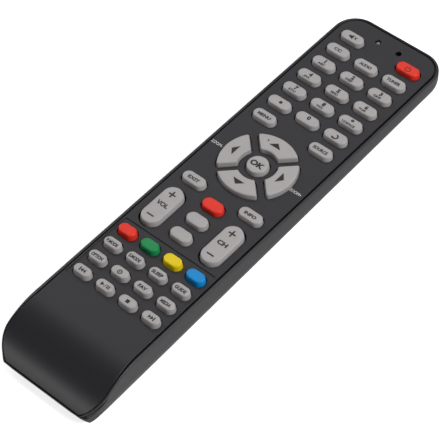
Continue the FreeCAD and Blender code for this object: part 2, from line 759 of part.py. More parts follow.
def case_screws():
    screws = []
    for y, seat in screw_places():
        head = post(0, y, HEAD_DIAMETER, seat - HEAD_HEIGHT, seat)
        shank = post(0, y, SHANK_DIAMETER, seat, seat + SCREW_LENGTH)
        head_face = seat - HEAD_HEIGHT
        low, high = head_face - OVERCUT, head_face + SLOT_DEPTH
        slots = [slab(0, y, SLOT_LENGTH, SLOT_WIDTH, 0, low, high),
                 slab(0, y, SLOT_WIDTH, SLOT_LENGTH, 0, low, high)]
        screws.append(head.fuse(shank).cut(slots))
    return Part.makeCompound(screws)


def build():
    parts = {
        "rear_shell": rear_shell(),
        "top_cover": top_cover(),
        "battery_door": battery_door(),
        "circuit_board": circuit_board(),
        "keypad_mat": keypad_mat(),
        "controller_chip": controller_chip(),
        "indicator_lamp": indicator_lamp(),
        "infrared_emitter": infrared_emitter(),
        "infrared_window": infrared_window(),
        "batteries": batteries(),
        "battery_contacts": battery_contacts(),
        "battery_springs": battery_springs(),
        "case_screws": case_screws(),
        "key_ok": ok_key(),
    }
    for name, (width, height), x, y in key_table():
        parts[name] = straight_key(x, y, width, height)
    for name, turn in ARROWS:
        parts[name] = arrow_key(turn)
    for name, x in ROCKERS:
        parts[name] = rocker_key(x)
    return parts


os.makedirs("parts", exist_ok=True)
for name, shape in build().items():
    shape.exportStep("parts/%s.step" % name)
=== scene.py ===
import math

import bmesh
import bpy
from mathutils import Matrix, Vector
from mathutils.geometry import delaunay_2d_cdt


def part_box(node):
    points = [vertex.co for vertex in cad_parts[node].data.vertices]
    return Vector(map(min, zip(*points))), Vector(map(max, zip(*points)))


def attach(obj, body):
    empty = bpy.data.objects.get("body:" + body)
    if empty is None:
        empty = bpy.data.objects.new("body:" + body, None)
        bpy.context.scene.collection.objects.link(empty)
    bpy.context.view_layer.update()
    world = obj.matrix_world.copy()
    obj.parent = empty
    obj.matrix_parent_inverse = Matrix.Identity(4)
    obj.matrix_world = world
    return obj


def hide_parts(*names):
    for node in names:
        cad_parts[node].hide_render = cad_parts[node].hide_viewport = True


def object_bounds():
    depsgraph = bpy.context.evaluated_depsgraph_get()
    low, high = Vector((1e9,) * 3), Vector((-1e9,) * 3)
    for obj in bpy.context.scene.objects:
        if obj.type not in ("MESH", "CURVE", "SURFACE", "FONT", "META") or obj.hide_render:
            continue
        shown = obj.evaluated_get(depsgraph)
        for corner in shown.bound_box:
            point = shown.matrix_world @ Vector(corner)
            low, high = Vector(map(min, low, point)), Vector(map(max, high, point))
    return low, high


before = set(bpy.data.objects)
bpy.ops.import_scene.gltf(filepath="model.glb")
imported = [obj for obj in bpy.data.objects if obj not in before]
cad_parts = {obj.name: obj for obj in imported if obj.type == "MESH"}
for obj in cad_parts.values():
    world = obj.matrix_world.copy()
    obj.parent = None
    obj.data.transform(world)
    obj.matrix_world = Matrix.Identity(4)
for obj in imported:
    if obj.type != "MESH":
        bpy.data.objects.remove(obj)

cad_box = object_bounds()


# Rear shell. A tray moulded in charcoal ABS, in one shot with its rim, belly and cell bay. The
# mould was spark-eroded to a fine satin grain, its parting edges are rounded a little, and the
# plan turns on broad rounds at the near corners.
SHELL_COLOUR, SHELL_EDGE = "#2f2e31", 0.12
HALF_WIDTH, FAR_END, LIP_END = [1000 * side for side in (cad_box[1][0], cad_box[1][1], cad_box[0][1])]
PLAN_CORNER, BROAD_CORNER, BELLY, LIP_HEIGHT = 10.2, 10.8, 9.4, 5.08
# The plan's own near end lies beyond the lip, because the slope cuts the belly's round short
NEAR_END = LIP_END - BELLY + math.sqrt(BELLY ** 2 - (BELLY - LIP_HEIGHT) ** 2)
SHARP_EDGE, FLAT_ANGLE, SAME_POINT = math.radians(28), math.radians(0.5), 0.002
MOTTLE, MOTTLE_SIZE, PIT_SHEEN, ABS_IOR = 0.05, 18, 0.06, 1.54


def linear(code, shade=1.0):
    """A linear colour, with alpha, from an sRGB hex code. A shade makes it darker or lighter."""
    parts = [int(code[i:i + 2], 16) / 255 for i in (1, 3, 5)]
    parts = [c / 12.92 if c <= 0.04045 else ((c + 0.055) / 1.055) ** 2.4 for c in parts]
    return [min(1, c * shade) for c in parts] + [1]


def add_node(tree, kind, inputs=None, **settings):
    """Add one node. An input given as another node's output is linked, and any other is set."""
    node = tree.nodes.new(kind)
    for name, value in settings.items():
        setattr(node, name, value)
    for name, value in (inputs or {}).items():
        if isinstance(value, bpy.types.NodeSocket):
            tree.links.new(value, node.inputs[name])
        else:
            node.inputs[name].default_value = value
    return node


def new_material(name):
    """A material with an empty node tree."""
    material = bpy.data.materials.new(name)
    material.use_nodes = True
    material.node_tree.nodes.clear()
    return material, material.node_tree


def moulded(name, colour, roughness, grain, relief):
    """A moulded surface: a colour with a faint flow mottle, and a fine even grain from the mould."""
    material, tree = new_material(name)
    place = add_node(tree, "ShaderNodeTexCoord").outputs["Object"]
    # A slow mottle, as pigment and wall thickness vary
    mottle = add_node(tree, "ShaderNodeTexNoise", {
        "Vector": place, "Scale": 1000 / MOTTLE_SIZE, "Detail": 2.0})
    tone = add_node(tree, "ShaderNodeMix", {
        0: mottle.outputs["Fac"], 6: linear(colour, 1 - MOTTLE), 7: linear(colour, 1 + MOTTLE)},
        data_type="RGBA")
    # The mould's grain, drawn a little coarser than the real tenth of a millimetre so that it shows
    pits = add_node(tree, "ShaderNodeTexNoise", {"Vector": place, "Scale": 1000 / grain, "Detail": 3.0})
    sheen = add_node(tree, "ShaderNodeMapRange", {
        "Value": pits.outputs["Fac"], "To Min": roughness - PIT_SHEEN, "To Max": roughness + PIT_SHEEN})
    bump = add_node(tree, "ShaderNodeBump", {
        "Height": pits.outputs["Fac"], "Strength": 0.6, "Distance": relief / 1000})
    skin = add_node(tree, "ShaderNodeBsdfPrincipled", {
        "Base Color": tone.outputs[2], "Roughness": sheen.outputs["Result"],
        "Normal": bump.outputs["Normal"], "IOR": ABS_IOR})
    add_node(tree, "ShaderNodeOutputMaterial", {"Surface": skin.outputs["BSDF"]})
    return material


def drawn_in(x, y):
    """A place on the case's plan, drawn in where it lies in one of the two broad near corners."""
    across = abs(x) - HALF_WIDTH + BROAD_CORNER
    down = NEAR_END + BROAD_CORNER - y
    if across <= 0 or down <= 0:
        return x, y
    turn = math.atan2(down, across)
    run, rise = math.cos(turn), math.sin(turn)
    # How far the narrower round of the plan reaches this way: its straight sides, or its own arc
    step = BROAD_CORNER - PLAN_CORNER
    reach = BROAD_CORNER / max(run, rise)
    if reach * min(run, rise) > step:
        both = step * (run + rise)
        reach = both + math.sqrt(both ** 2 - 2 * step ** 2 + PLAN_CORNER ** 2)
    scale = BROAD_CORNER / reach
    x = math.copysign(HALF_WIDTH - BROAD_CORNER + across * scale, x)
    return x, NEAR_END + BROAD_CORNER - down * scale


def rounded_copy(node, width, near_corners=False):
    """A merged copy of a solid's mesh with its sharp edges rounded, in the solid's own place."""
    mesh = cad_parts[node].data.copy()
    bm = bmesh.new()
    bm.from_mesh(mesh)
    bmesh.ops.remove_doubles(bm, verts=bm.verts, dist=SAME_POINT / 1000)
    bmesh.ops.dissolve_limit(bm, angle_limit=FLAT_ANGLE, verts=bm.verts, edges=bm.edges)
    edges = [e for e in bm.edges if len(e.link_faces) == 2 and e.calc_face_angle() > SHARP_EDGE]
    bmesh.ops.bevel(bm, geom=edges, offset=width / 1000, segments=2, profile=0.5,
                    affect="EDGES", clamp_overlap=True)
    if near_corners:
        # Cuts a millimetre apart give the flats the points that the broad rounds need
        steps = range(1, int(BROAD_CORNER) + 1)
        cuts = [((0, (NEAR_END + step) / 1000, 0), (0, 1, 0)) for step in steps[1:]]
        cuts += [((way * (HALF_WIDTH - step) / 1000, 0, 0), (1, 0, 0)) for way in (-1, 1) for step in steps]
        for place, square in cuts:
            bmesh.ops.bisect_plane(bm, geom=bm.verts[:] + bm.edges[:] + bm.faces[:],
                                   plane_co=place, plane_no=square)
        for vert in bm.verts:
            x, y = drawn_in(vert.co.x * 1000, vert.co.y * 1000)
            vert.co.x, vert.co.y = x / 1000, y / 1000
    for face in bm.faces:
        face.smooth = True
    # Large flats keep their own direction up to their edges, and the small rounds bend between them
    bm.normal_update()
    normals = [sum((face.normal * face.calc_area() for face in vert.link_faces), Vector()).normalized()
               for vert in bm.verts]
    bm.to_mesh(mesh)
    bm.free()
    mesh.normals_split_custom_set_from_vertices(normals)
    return mesh


def dress(name, mesh, material, body, replaced=None):
    """Make a finished piece of a mesh, give it its finish and let it move with its body."""
    mesh.materials.clear()
    mesh.materials.append(material)
    piece = bpy.data.objects.new(name, mesh)
    bpy.context.scene.collection.objects.link(piece)
    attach(piece, body)
    if replaced:
        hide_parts(replaced)


# Spark-eroded ABS: a charcoal that is dull from far off, with a broad sheen that breaks up close to
satin_abs = moulded("spark_eroded_abs", SHELL_COLOUR, roughness=0.46, grain=0.3, relief=0.03)
dress("shell_tray", rounded_copy("rear_shell", SHELL_EDGE, near_corners=True), satin_abs, "remote",
      "rear_shell")


# Top cover and the rim that it lies in. The cover is moulded in near-black ABS with a satin grain,
# with an opening for every key and a shallow pocket. The tray's rim shows round its sides and far
# end, past a narrow dark seam, and both curve down to a thin lip at the near end.
COVER_COLOUR, COVER_THICKNESS, COVER_ROUND, EDGE_ROUND = "#232227", 1.4, 0.2, 0.16
RIM_WIDTH, SEAM, END_GAP, END_RIM = 1.0, 0.75, 0.3, 0.45
COVER_INSET = RIM_WIDTH + SEAM
RIM_ROUND, RIM_BEVEL, RIM_FOOT = 0.72, 0.08, 1.62
# Between these places the rim and the seam narrow to this share of their width
NEAR_SHARE, NARROW_FROM, NARROW_TO = 0.43, -79.3, -94.0

WIDE_KEY, SHORTCUT_KEY, COLOUR_KEY, SMALL_KEY = (10.55, 5.3), (9.5, 5.6), (8.0, 4.95), (7.85, 4.55)
ROCKER_KEY, OK_DIAMETER = (9.0, 20.3), 9.0
WIDE_PITCH, WIDE_ROW, WIDE_STEP, EXIT_ROW = 13.6, 74.98, 9.08, -20.4
SHORTCUT_ROW, SHORTCUT_STEP, ROCKER_PITCH, ROCKER_ROW = -25.6, 8.85, 28.8, -37.3
SMALL_PITCH, SMALL_ROW, SMALL_STEP = 10.88, -54.05, 7.95
RING_INNER, RING_OUTER, RING_GAP, RING_CORNER = 7.5, 15.7, 3.2, 0.9
ARROWS = {"key_up": 0, "key_left": 90, "key_down": 180, "key_right": 270}
KEY_GAP, ROCKER_GAP = 0.35, 0.512

# The pocket, the slope and the lamps' row are placed from the rows of keys
LAST_ROW = SMALL_ROW - 3 * SMALL_STEP
POCKET_NEAR, POCKET_FAR, POCKET_DEPTH = LAST_ROW - SMALL_KEY[1] / 2 - 1.5, -49.3, 0.35
POCKET = (21.8, POCKET_NEAR, POCKET_FAR, 1.0)
SLOPE_START, SLOPE_RADIUS = LAST_ROW - 16.6, 27.1
LAMP_X, LAMP_ROW, LAMP_HOLE = 5.0, WIDE_ROW + 5.5, 2.4

# How many straight pieces draw a rounded edge, a key's half round, a corner and a lamp's hole
ROUND_STEPS, KEY_STEPS, CORNER_STEPS, HOLE_STEPS = 3, 14, 5, 24
# The same for the plan's near and far corners, the slope, and an arrow key's two arcs
NEAR_STEPS, FAR_STEPS, SLOPE_STEPS, INNER_STEPS, OUTER_STEPS = 14, 10, 24, 8, 10
# A row of points closer than this to a corner's start would make slivers, and is left out
SLIVER = 0.3

# The fascia's own plane starts at the middle of the arrow pad, and z is the height above it. These
# two put a mesh that is drawn in millimetres, in the case or on the fascia, in its place in metres.
TILT, PAD_Y, PAD_Z = math.radians(1.6), FAR_END - LAMP_ROW - 7.5, 15.495
CASE = Matrix.Scale(0.001, 4)
FASCIA = CASE @ Matrix.Translation((0, PAD_Y, PAD_Z)) @ Matrix.Rotation(-TILT, 4, "X")
# The slope is an arc about this line, and the cover stops short of the lip
SLOPE_Y, SLOPE_Z = 1000 * (FASCIA @ Vector((0, SLOPE_START, -SLOPE_RADIUS))).yz
COVER_END = math.asin((SLOPE_Y - LIP_END) / SLOPE_RADIUS) + TILT - (END_RIM + END_GAP) / SLOPE_RADIUS


def key_places():
    """Name, size and middle of every key but the arrows, in rows from the far end."""
    places = {"key_ok": ((OK_DIAMETER, OK_DIAMETER), 0, 0)}
    wide = ("mute - power", "captions audio tuner", "1 2 3", "4 5 6", "7 8 9", "dash 0 return",
            "menu - source")
    rows = [(WIDE_KEY, WIDE_PITCH, WIDE_ROW - WIDE_STEP * step, names) for step, names in enumerate(wide)]
    rows.append((WIDE_KEY, WIDE_PITCH, EXIT_ROW, "exit - info"))
    rows += [(SHORTCUT_KEY, 0, SHORTCUT_ROW - SHORTCUT_STEP * step, "shortcut_%d" % (step + 1))
             for step in range(3)]
    small = ("red green yellow blue", "picture sound sleep guide", "option display favourite media",
             "previous play_pause stop next")
    rows += [(SMALL_KEY if step else COLOUR_KEY, SMALL_PITCH, SMALL_ROW - SMALL_STEP * step, names)
             for step, names in enumerate(small)]
    rows.append((ROCKER_KEY, ROCKER_PITCH, ROCKER_ROW, "volume channel"))
    for size, pitch, y, names in rows:
        names = names.split()
        for column, name in enumerate(names):
            if name != "-":
                places["key_" + name] = (size, (column - (len(names) - 1) / 2) * pitch, y)
    return places


def arc(x, y, radius, start, sweep, steps):
    """Points along an arc, from a start through a sweep, both in degrees."""
    angles = [math.radians(start + sweep * step / steps) for step in range(steps + 1)]
    return [Vector((x + radius * math.cos(angle), y + radius * math.sin(angle))) for angle in angles]


def stadium(size, x, y, outset):
    """A key's outline, moved out by outset: two half rounds and two straight sides."""
    width, height = size
    radius = min(size) / 2 + outset
    a, b = (width - min(size)) / 2, (height - min(size)) / 2
    start = 0 if width > height else 90
    return [point for way, turn in ((1, start - 90), (-1, start + 90))
            for point in arc(x + way * a, y + way * b, radius, turn, 180, KEY_STEPS)]


def round_box(half, near, far, corner, inset):
    """A rounded rectangle between near and far, moved in by inset."""
    half, near, far, corner = half - inset, near + inset, far - inset, max(corner - inset, 0.1)
    a, low, high = half - corner, near + corner, far - corner
    return [point for turn, x, y in ((0, a, high), (90, -a, high), (180, -a, low), (270, a, low))
            for point in arc(x, y, corner, turn, 90, CORNER_STEPS)]


def ring_outline(turn, inset):
    """One arrow key's outline: two arcs about the pad's middle, and sides along the diagonals."""
    corner = max(RING_CORNER - inset, RING_CORNER / 3)
    inner, outer = RING_INNER + inset, RING_OUTER - inset
    side = RING_GAP / 2 + inset + corner
    half = []
    for distance, start in ((inner + corner, None), (outer - corner, -45)):
        lean = 45 + math.degrees(math.asin(side / distance))
        centre = arc(0, 0, distance, lean, 0, 1)[0]
        if start is None:
            half += arc(centre.x, centre.y, corner, lean + 180, 135 - lean, CORNER_STEPS)
        else:
            half += arc(centre.x, centre.y, corner, start, lean + 45, CORNER_STEPS)
            half += arc(0, 0, outer, lean, 90 - lean, OUTER_STEPS)[1:]
    lean = 45 + math.degrees(math.asin(side / (inner + corner)))
    inside = arc(0, 0, inner, lean, 90 - lean, INNER_STEPS)[1:]
    points = half + [Vector((-p.x, p.y)) for p in reversed(half[:-1])]
    points += [Vector((-p.x, p.y)) for p in inside] + [p.copy() for p in reversed(inside[:-1])]
    run, rise = math.cos(math.radians(turn)), math.sin(math.radians(turn))
    return [Vector((p.x * run - p.y * rise, p.x * rise + p.y * run)) for p in points]


def slope_lean(y):
    """How far round the slope a place is, from its distance along the case."""
    return math.asin((SLOPE_Y - y) / SLOPE_RADIUS) + TILT


def along(y):
    """Distance along the fascia, unrolled where it slopes, of a place y along the case."""
    flat = (y - PAD_Y) / math.cos(TILT)
    return flat if flat > SLOPE_START else SLOPE_START - SLOPE_RADIUS * slope_lean(y)


def unrolled(distance):
    """Place y along the case of a distance along the unrolled fascia."""
    if distance > SLOPE_START:
        return PAD_Y + distance * math.cos(TILT)
    return SLOPE_Y - SLOPE_RADIUS * math.sin((SLOPE_START - distance) / SLOPE_RADIUS - TILT)


def belly_inset(y):
    """How far the tray's round belly has drawn its side in, at the height of the fascia or its slope."""
    if along(y) > SLOPE_START:
        return 0
    rise = BELLY - SLOPE_Z - math.sqrt(SLOPE_RADIUS ** 2 - (SLOPE_Y - y) ** 2)
    return BELLY - math.sqrt(BELLY ** 2 - max(0, rise) ** 2)


def half_width(inset, y):
    """Half the width at a place y of an outline moved in, by less where the rim runs down to the lip."""
    run_down = min(1, max(0, (NARROW_FROM - y) / (NARROW_FROM - NARROW_TO)))
    return HALF_WIDTH - inset * (1 + (NEAR_SHARE - 1) * run_down) - belly_inset(y)


def case_outline(inset, back):
    """The case's plan moved in, on the unrolled fascia, from the near right round to the near left.
    Back is how far it stops short of the cover's own end."""
    middle, bend = HALF_WIDTH - PLAN_CORNER, NEAR_END + PLAN_CORNER
    near_round, far_round = PLAN_CORNER - inset * NEAR_SHARE, PLAN_CORNER - inset
    last = SLOPE_START - SLOPE_RADIUS * COVER_END + back
    cut = math.degrees(math.asin(min(1, (bend - unrolled(last)) / near_round)))
    rows = [unrolled(SLOPE_START - SLOPE_RADIUS * COVER_END * step / SLOPE_STEPS)
            for step in range(SLOPE_STEPS)]
    right = list(reversed(arc(middle, bend, near_round, 0, -cut, NEAR_STEPS)))
    right += [Vector((HALF_WIDTH, y)) for y in reversed(rows) if y > bend + SLIVER]
    right = [Vector(drawn_in(min(p.x, half_width(inset, p.y)), p.y)) for p in right]
    far = arc(middle, FAR_END - PLAN_CORNER, far_round, 0, 90, FAR_STEPS)
    right = [Vector((p.x, along(p.y))) for p in right + far]
    return right + [Vector((-p.x, p.y)) for p in reversed(right)]


def cover_outline(inset):
    """The cover's edge, moved in."""
    return case_outline(COVER_INSET + inset, inset)


def pocket_outline(outset):
    """The edge of the shallow pocket round the lower keys, moved out."""
    return round_box(*POCKET, -outset)


def rim_outline(inset):
    """The rim's top face: a strip round the sides and the far end that runs down to the near lip."""
    bevel = RIM_BEVEL * inset / RIM_ROUND
    inner = case_outline(RIM_WIDTH - bevel, bevel - END_GAP)
    return case_outline(inset, inset * NEAR_SHARE - END_GAP) + inner[::-1]


def on_cover(x, distance, height):
    """Fascia place of a point over the unrolled fascia, and of its along and upward directions."""
    lean = max(0, (SLOPE_START - distance) / SLOPE_RADIUS)
    run, rise = math.cos(lean), math.sin(lean)
    if not lean:
        return Vector((x, distance, height)), Vector((0, 1, 0)), Vector((0, 0, 1))
    radius = SLOPE_RADIUS + height
    place = Vector((x, SLOPE_START - radius * rise, radius * run - SLOPE_RADIUS))
    return place, Vector((0, run, rise)), Vector((0, -rise, run))


def outward(loop):
    """The flat outward direction at every point of a closed loop that runs anticlockwise."""
    turns = [loop[(i + 1) % len(loop)] - loop[i - 1] for i in range(len(loop))]
    return [Vector((turn.y, -turn.x)).normalized() for turn in turns]


class Sheet:
    """Gathers the points, true normals and faces of a smooth skin that is drawn on the fascia."""

    def __init__(self):
        self.points, self.normals, self.faces = [], [], []

    def add(self, flat, height, side=Vector((0, 0)), up=1.0):
        """Add one point with its normal, given by its part along the skin and its part upwards."""
        place, forward, upward = on_cover(flat.x, flat.y, height)
        self.points.append(FASCIA @ place)
        normal = Vector((1, 0, 0)) * side.x + forward * side.y + upward * up
        self.normals.append((FASCIA.to_3x3() @ normal).normalized())
        return len(self.points) - 1

    def wall(self, levels, way=1):
        """Bands between loops. A level is a loop, its height and how far its normal leans from upright.
        They face out of the loops, or into them where way is -1."""
        rings = []
        for loop, height, lean in levels:
            rings.append([self.add(p, height, side * way * math.sin(lean), math.cos(lean))
                          for p, side in zip(loop, outward(loop))])
        for upper, lower in zip(rings, rings[1:]):
            for i in range(len(upper)):
                quad = (upper[i - 1], lower[i - 1], lower[i], upper[i])
                self.faces.append(quad if way > 0 else quad[::-1])

    def rounded_wall(self, outline, width, top, foot, way=1):
        """A wall whose upper edge is rounded into a flat top. Outline gives the loop for an inset."""
        turns = [math.pi / 2 * step / ROUND_STEPS for step in range(ROUND_STEPS + 1)]
        levels = [(outline(width * (1 - math.sin(turn))), top - width * (1 - math.cos(turn)), turn)
                  for turn in turns]
        self.wall(levels + [(outline(0), foot, math.pi / 2)], way)

    def fill(self, outer, holes, height, up=1.0):
        """Fill the room between an outline and its holes, with straight rows across where it bends."""
        flat, edges, owners = [], [], []
        for loop in [outer] + holes:
            first, size = len(flat), len(loop)
            flat += loop
            edges += [(first + i, first + (i + 1) % size) for i in range(size)]
            owners.append(list(range(first, first + size)))
        last = len(outer) - 1
        edges += [(i, last - i) for i in range(1, last // 2) if outer[i].y < SLOPE_START + SLIVER]
        # Only the faces that lie in the outline alone are kept, and not those in a hole
        spots, _, faces, _, _, parents = delaunay_2d_cdt(flat, edges, owners, 1, 1e-5)
        start = len(self.points)
        for spot in spots:
            self.add(spot, height, up=up)
        for face, loops in zip(faces, parents):
            if list(loops) == [0]:
                corner = [start + i for i in face]
                self.faces.append(corner if up > 0 else corner[::-1])

    def mesh(self, name):
        """The skin as a mesh, shaded with its true normals."""
        mesh = bpy.data.meshes.new(name)
        mesh.from_pydata(self.points, [], self.faces)
        mesh.polygons.foreach_set("use_smooth", [True] * len(mesh.polygons))
        mesh.normals_split_custom_set_from_vertices(self.normals)
        return mesh


KEYS = key_places()
openings = []
for name, (size, x, y) in KEYS.items():
    gap = ROCKER_GAP if size == ROCKER_KEY else KEY_GAP
    openings.append((y, lambda outset, size=size, x=x, y=y, gap=gap: stadium(size, x, y, gap + outset)))
for name, turn in ARROWS.items():
    openings.append((0, lambda outset, turn=turn: ring_outline(turn, -KEY_GAP - outset)))
for way in (-1, 1):
    openings.append((LAMP_ROW, lambda outset, way=way: arc(
        way * LAMP_X, LAMP_ROW, LAMP_HOLE / 2 + outset, 0, 360 - 360 / HOLE_STEPS, HOLE_STEPS - 1)))

cover = Sheet()
in_pocket = [opening for y, opening in openings if POCKET_NEAR < y < POCKET_FAR]
on_top = [opening for y, opening in openings if not POCKET_NEAR < y < POCKET_FAR]
for top, group in ((0, on_top), (-POCKET_DEPTH, in_pocket)):
    for opening in group:
        cover.rounded_wall(opening, EDGE_ROUND, top, -COVER_THICKNESS, -1)
cover.rounded_wall(cover_outline, COVER_ROUND, 0, -COVER_THICKNESS)
cover.rounded_wall(pocket_outline, EDGE_ROUND, 0, -POCKET_DEPTH, -1)
cover.fill(cover_outline(COVER_ROUND), [opening(EDGE_ROUND) for opening in on_top + [pocket_outline]], 0)
cover.fill(pocket_outline(0), [opening(EDGE_ROUND) for opening in in_pocket], -POCKET_DEPTH)
cover.fill(cover_outline(0), [opening(0) for y, opening in openings], -COVER_THICKNESS, up=-1.0)

# Satin moulded ABS: near black, with a tighter sheen than the tray's
dark_abs = moulded("satin_black_abs", COVER_COLOUR, roughness=0.36, grain=0.25, relief=0.02)
dress("fascia_plate", cover.mesh("fascia_plate"), dark_abs, "remote", "top_cover")

rim = Sheet()
rim.rounded_wall(rim_outline, RIM_ROUND, 0, -RIM_FOOT)
rim.fill(rim_outline(RIM_ROUND), [], 0)
rim.fill(rim_outline(0), [], -RIM_FOOT, up=-1.0)
dress("tray_rim", rim.mesh("tray_rim"), satin_abs, "remote")


# Keys pressed straight in, and the two rockers. Caps moulded in coloured silicone rubber, each with
# a soft edge round a flat top and a flange under the cover that keeps it from coming out.
KEY_RUBBER = {"grey_rubber": "#bab6b6", "red_rubber": "#fa3b2b", "green_rubber": "#219556",
              "yellow_rubber": "#f9db14", "blue_rubber": "#1695e2"}
KEY_COLOURS = {"key_power": "red_rubber", "key_shortcut_1": "red_rubber", "key_red": "red_rubber",
               "key_green": "green_rubber", "key_yellow": "yellow_rubber", "key_blue": "blue_rubber"}
FLANGE_TOP, FLANGE_BOTTOM, KEY_TOP = -1.6, -2.1, 1.85
FLANGE, FOOT, OK_FLANGE, ROCKER_FOOT = 0.7, 0.15, 0.2, 0.075
# A cap's side leans in over its height, bends inwards near the top, and ends in a low crown
SIDE_LEAN, BEND_START, BEND_IN, BEND_UP = 0.5, 1.2, 0.5, 0.59
CROWN_IN, CROWN_EDGE, CROWN_TOP = 0.75, 1.815, 1.825
BENDS = [math.pi / 10 * step for step in range(6)]
AROUND = 54


def leant_in(z):
    """How far a cap's side has leant in at a height above its flange."""
    return SIDE_LEAN * (z - FLANGE_TOP) / (KEY_TOP - FLANGE_TOP)


def cap_profile(flange, foot):
    """The key's cut from the middle of its foot to the middle of its top: part of the end radius,
    distance beyond the key's size, and height."""
    profile = [(0, 0, FLANGE_BOTTOM), (1, flange, FLANGE_BOTTOM)]
    if flange > foot:
        profile += [(1, flange, FLANGE_TOP), (1, foot, FLANGE_TOP)]
    profile += [(1, foot - leant_in(z), z) for z in (-0.5, 0.4, BEND_START)]
    edge = profile[-1][1]
    profile += [(1, edge - BEND_IN * (1 - math.cos(turn)), BEND_START + BEND_UP * math.sin(turn))
                for turn in BENDS[1:]]
    return profile + [(1, edge - CROWN_IN, CROWN_EDGE), (0.5, 0, CROWN_TOP), (0, 0, CROWN_TOP)]


def form_tree(name, sizes):
    """A node tree that draws a form, with a named input for each size and for the finish."""
    tree = bpy.data.node_groups.new(name, "GeometryNodeTree")
    tree.interface.new_socket("Geometry", in_out="OUTPUT", socket_type="NodeSocketGeometry")
    for socket in sizes:
        tree.interface.new_socket(socket, in_out="INPUT", socket_type="NodeSocketFloat")
    tree.interface.new_socket("Finish", in_out="INPUT", socket_type="NodeSocketMaterial")
    return tree, add_node(tree, "NodeGroupInput").outputs


def end_tree(tree, form, material):
    """Smooth the form, make its instances real, give it its finish and put it out."""
    smooth = add_node(tree, "GeometryNodeSetShadeSmooth", {"Geometry": form})
    real = add_node(tree, "GeometryNodeRealizeInstances", {"Geometry": smooth.outputs[0]})
    finish = add_node(tree, "GeometryNodeSetMaterial", {"Geometry": real.outputs[0], "Material": material})
    add_node(tree, "NodeGroupOutput", {0: finish.outputs[0]})
    return tree


def key_tree(name, profile):
    """Nodes that draw a stadium-shaped cap: a grid is bent round the outline and up the profile."""
    tree, given = form_tree(name, ("Half Straight", "End Radius", "Turn"))
    sums = "ShaderNodeMath"
    levels = len(profile)
    grid = add_node(tree, "GeometryNodeMeshGrid", {
        "Size X": float(levels - 1), "Size Y": float(AROUND), "Vertices X": levels,
        "Vertices Y": AROUND + 1})
    spot = add_node(tree, "ShaderNodeSeparateXYZ", {
        0: add_node(tree, "GeometryNodeInputPosition").outputs[0]})
    # The grid's place gives the level of the profile and the angle round the outline
    raised = add_node(tree, sums, {0: spot.outputs[0], 1: (levels - 1) / 2}, operation="ADD")
    level = add_node(tree, sums, {0: raised.outputs[0]}, operation="ROUND")
    gone_round = add_node(tree, sums, {0: spot.outputs[1], 1: AROUND / 2 + 0.5}, operation="ADD")
    angle = add_node(tree, sums, {0: gone_round.outputs[0], 1: 2 * math.pi / AROUND}, operation="MULTIPLY")
    cut = add_node(tree, "GeometryNodeIndexSwitch", {0: level.outputs[0]}, data_type="VECTOR")
    while len(cut.index_switch_items) < levels:
        cut.index_switch_items.new()
    for step, stop in enumerate(profile):
        cut.inputs[step + 1].default_value = stop
    stop = add_node(tree, "ShaderNodeSeparateXYZ", {0: cut.outputs[0]}).outputs
    radius = add_node(tree, sums, {0: given["End Radius"], 1: stop[0], 2: stop[1]}, operation="MULTIPLY_ADD")
    # Each half round is pushed to its own end by half of the straight side
    across = add_node(tree, sums, {0: angle.outputs[0]}, operation="COSINE")
    way = add_node(tree, sums, {0: across.outputs[0]}, operation="SIGN")
    side = add_node(tree, sums, {0: way.outputs[0], 1: given["Half Straight"]}, operation="MULTIPLY")
    x = add_node(tree, sums, {0: radius.outputs[0], 1: across.outputs[0], 2: side.outputs[0]},
                 operation="MULTIPLY_ADD")
    upward = add_node(tree, sums, {0: angle.outputs[0]}, operation="SINE")
    y = add_node(tree, sums, {0: radius.outputs[0], 1: upward.outputs[0]}, operation="MULTIPLY")
    place = add_node(tree, "ShaderNodeCombineXYZ", {0: x.outputs[0], 1: y.outputs[0], 2: stop[2]})
    turned = add_node(tree, "ShaderNodeVectorRotate", {
        "Vector": place.outputs[0], "Angle": given["Turn"]}, rotation_type="Z_AXIS")
    shaped = add_node(tree, "GeometryNodeSetPosition", {
        "Geometry": grid.outputs[0], "Position": turned.outputs[0]})
    joined = add_node(tree, "GeometryNodeMergeByDistance", {
        "Geometry": shaped.outputs[0], "Distance": 0.001})
    return end_tree(tree, joined.outputs[0], given["Finish"])


def grown(name, tree, values):
    """The plain mesh that a node tree draws with the given inputs."""
    host = bpy.data.objects.new(name, bpy.data.meshes.new(name))
    bpy.context.scene.collection.objects.link(host)
    modifier = host.modifiers.new("form", "NODES")
    modifier.node_group = tree
    for item in tree.interface.items_tree:
        if item.in_out == "INPUT" and item.name in values:
            modifier[item.identifier] = values[item.name]
    host.update_tag()
    graph = bpy.context.evaluated_depsgraph_get()
    mesh = bpy.data.meshes.new_from_object(host.evaluated_get(graph), depsgraph=graph)
    bpy.data.objects.remove(host)
    mesh.name = name
    return mesh


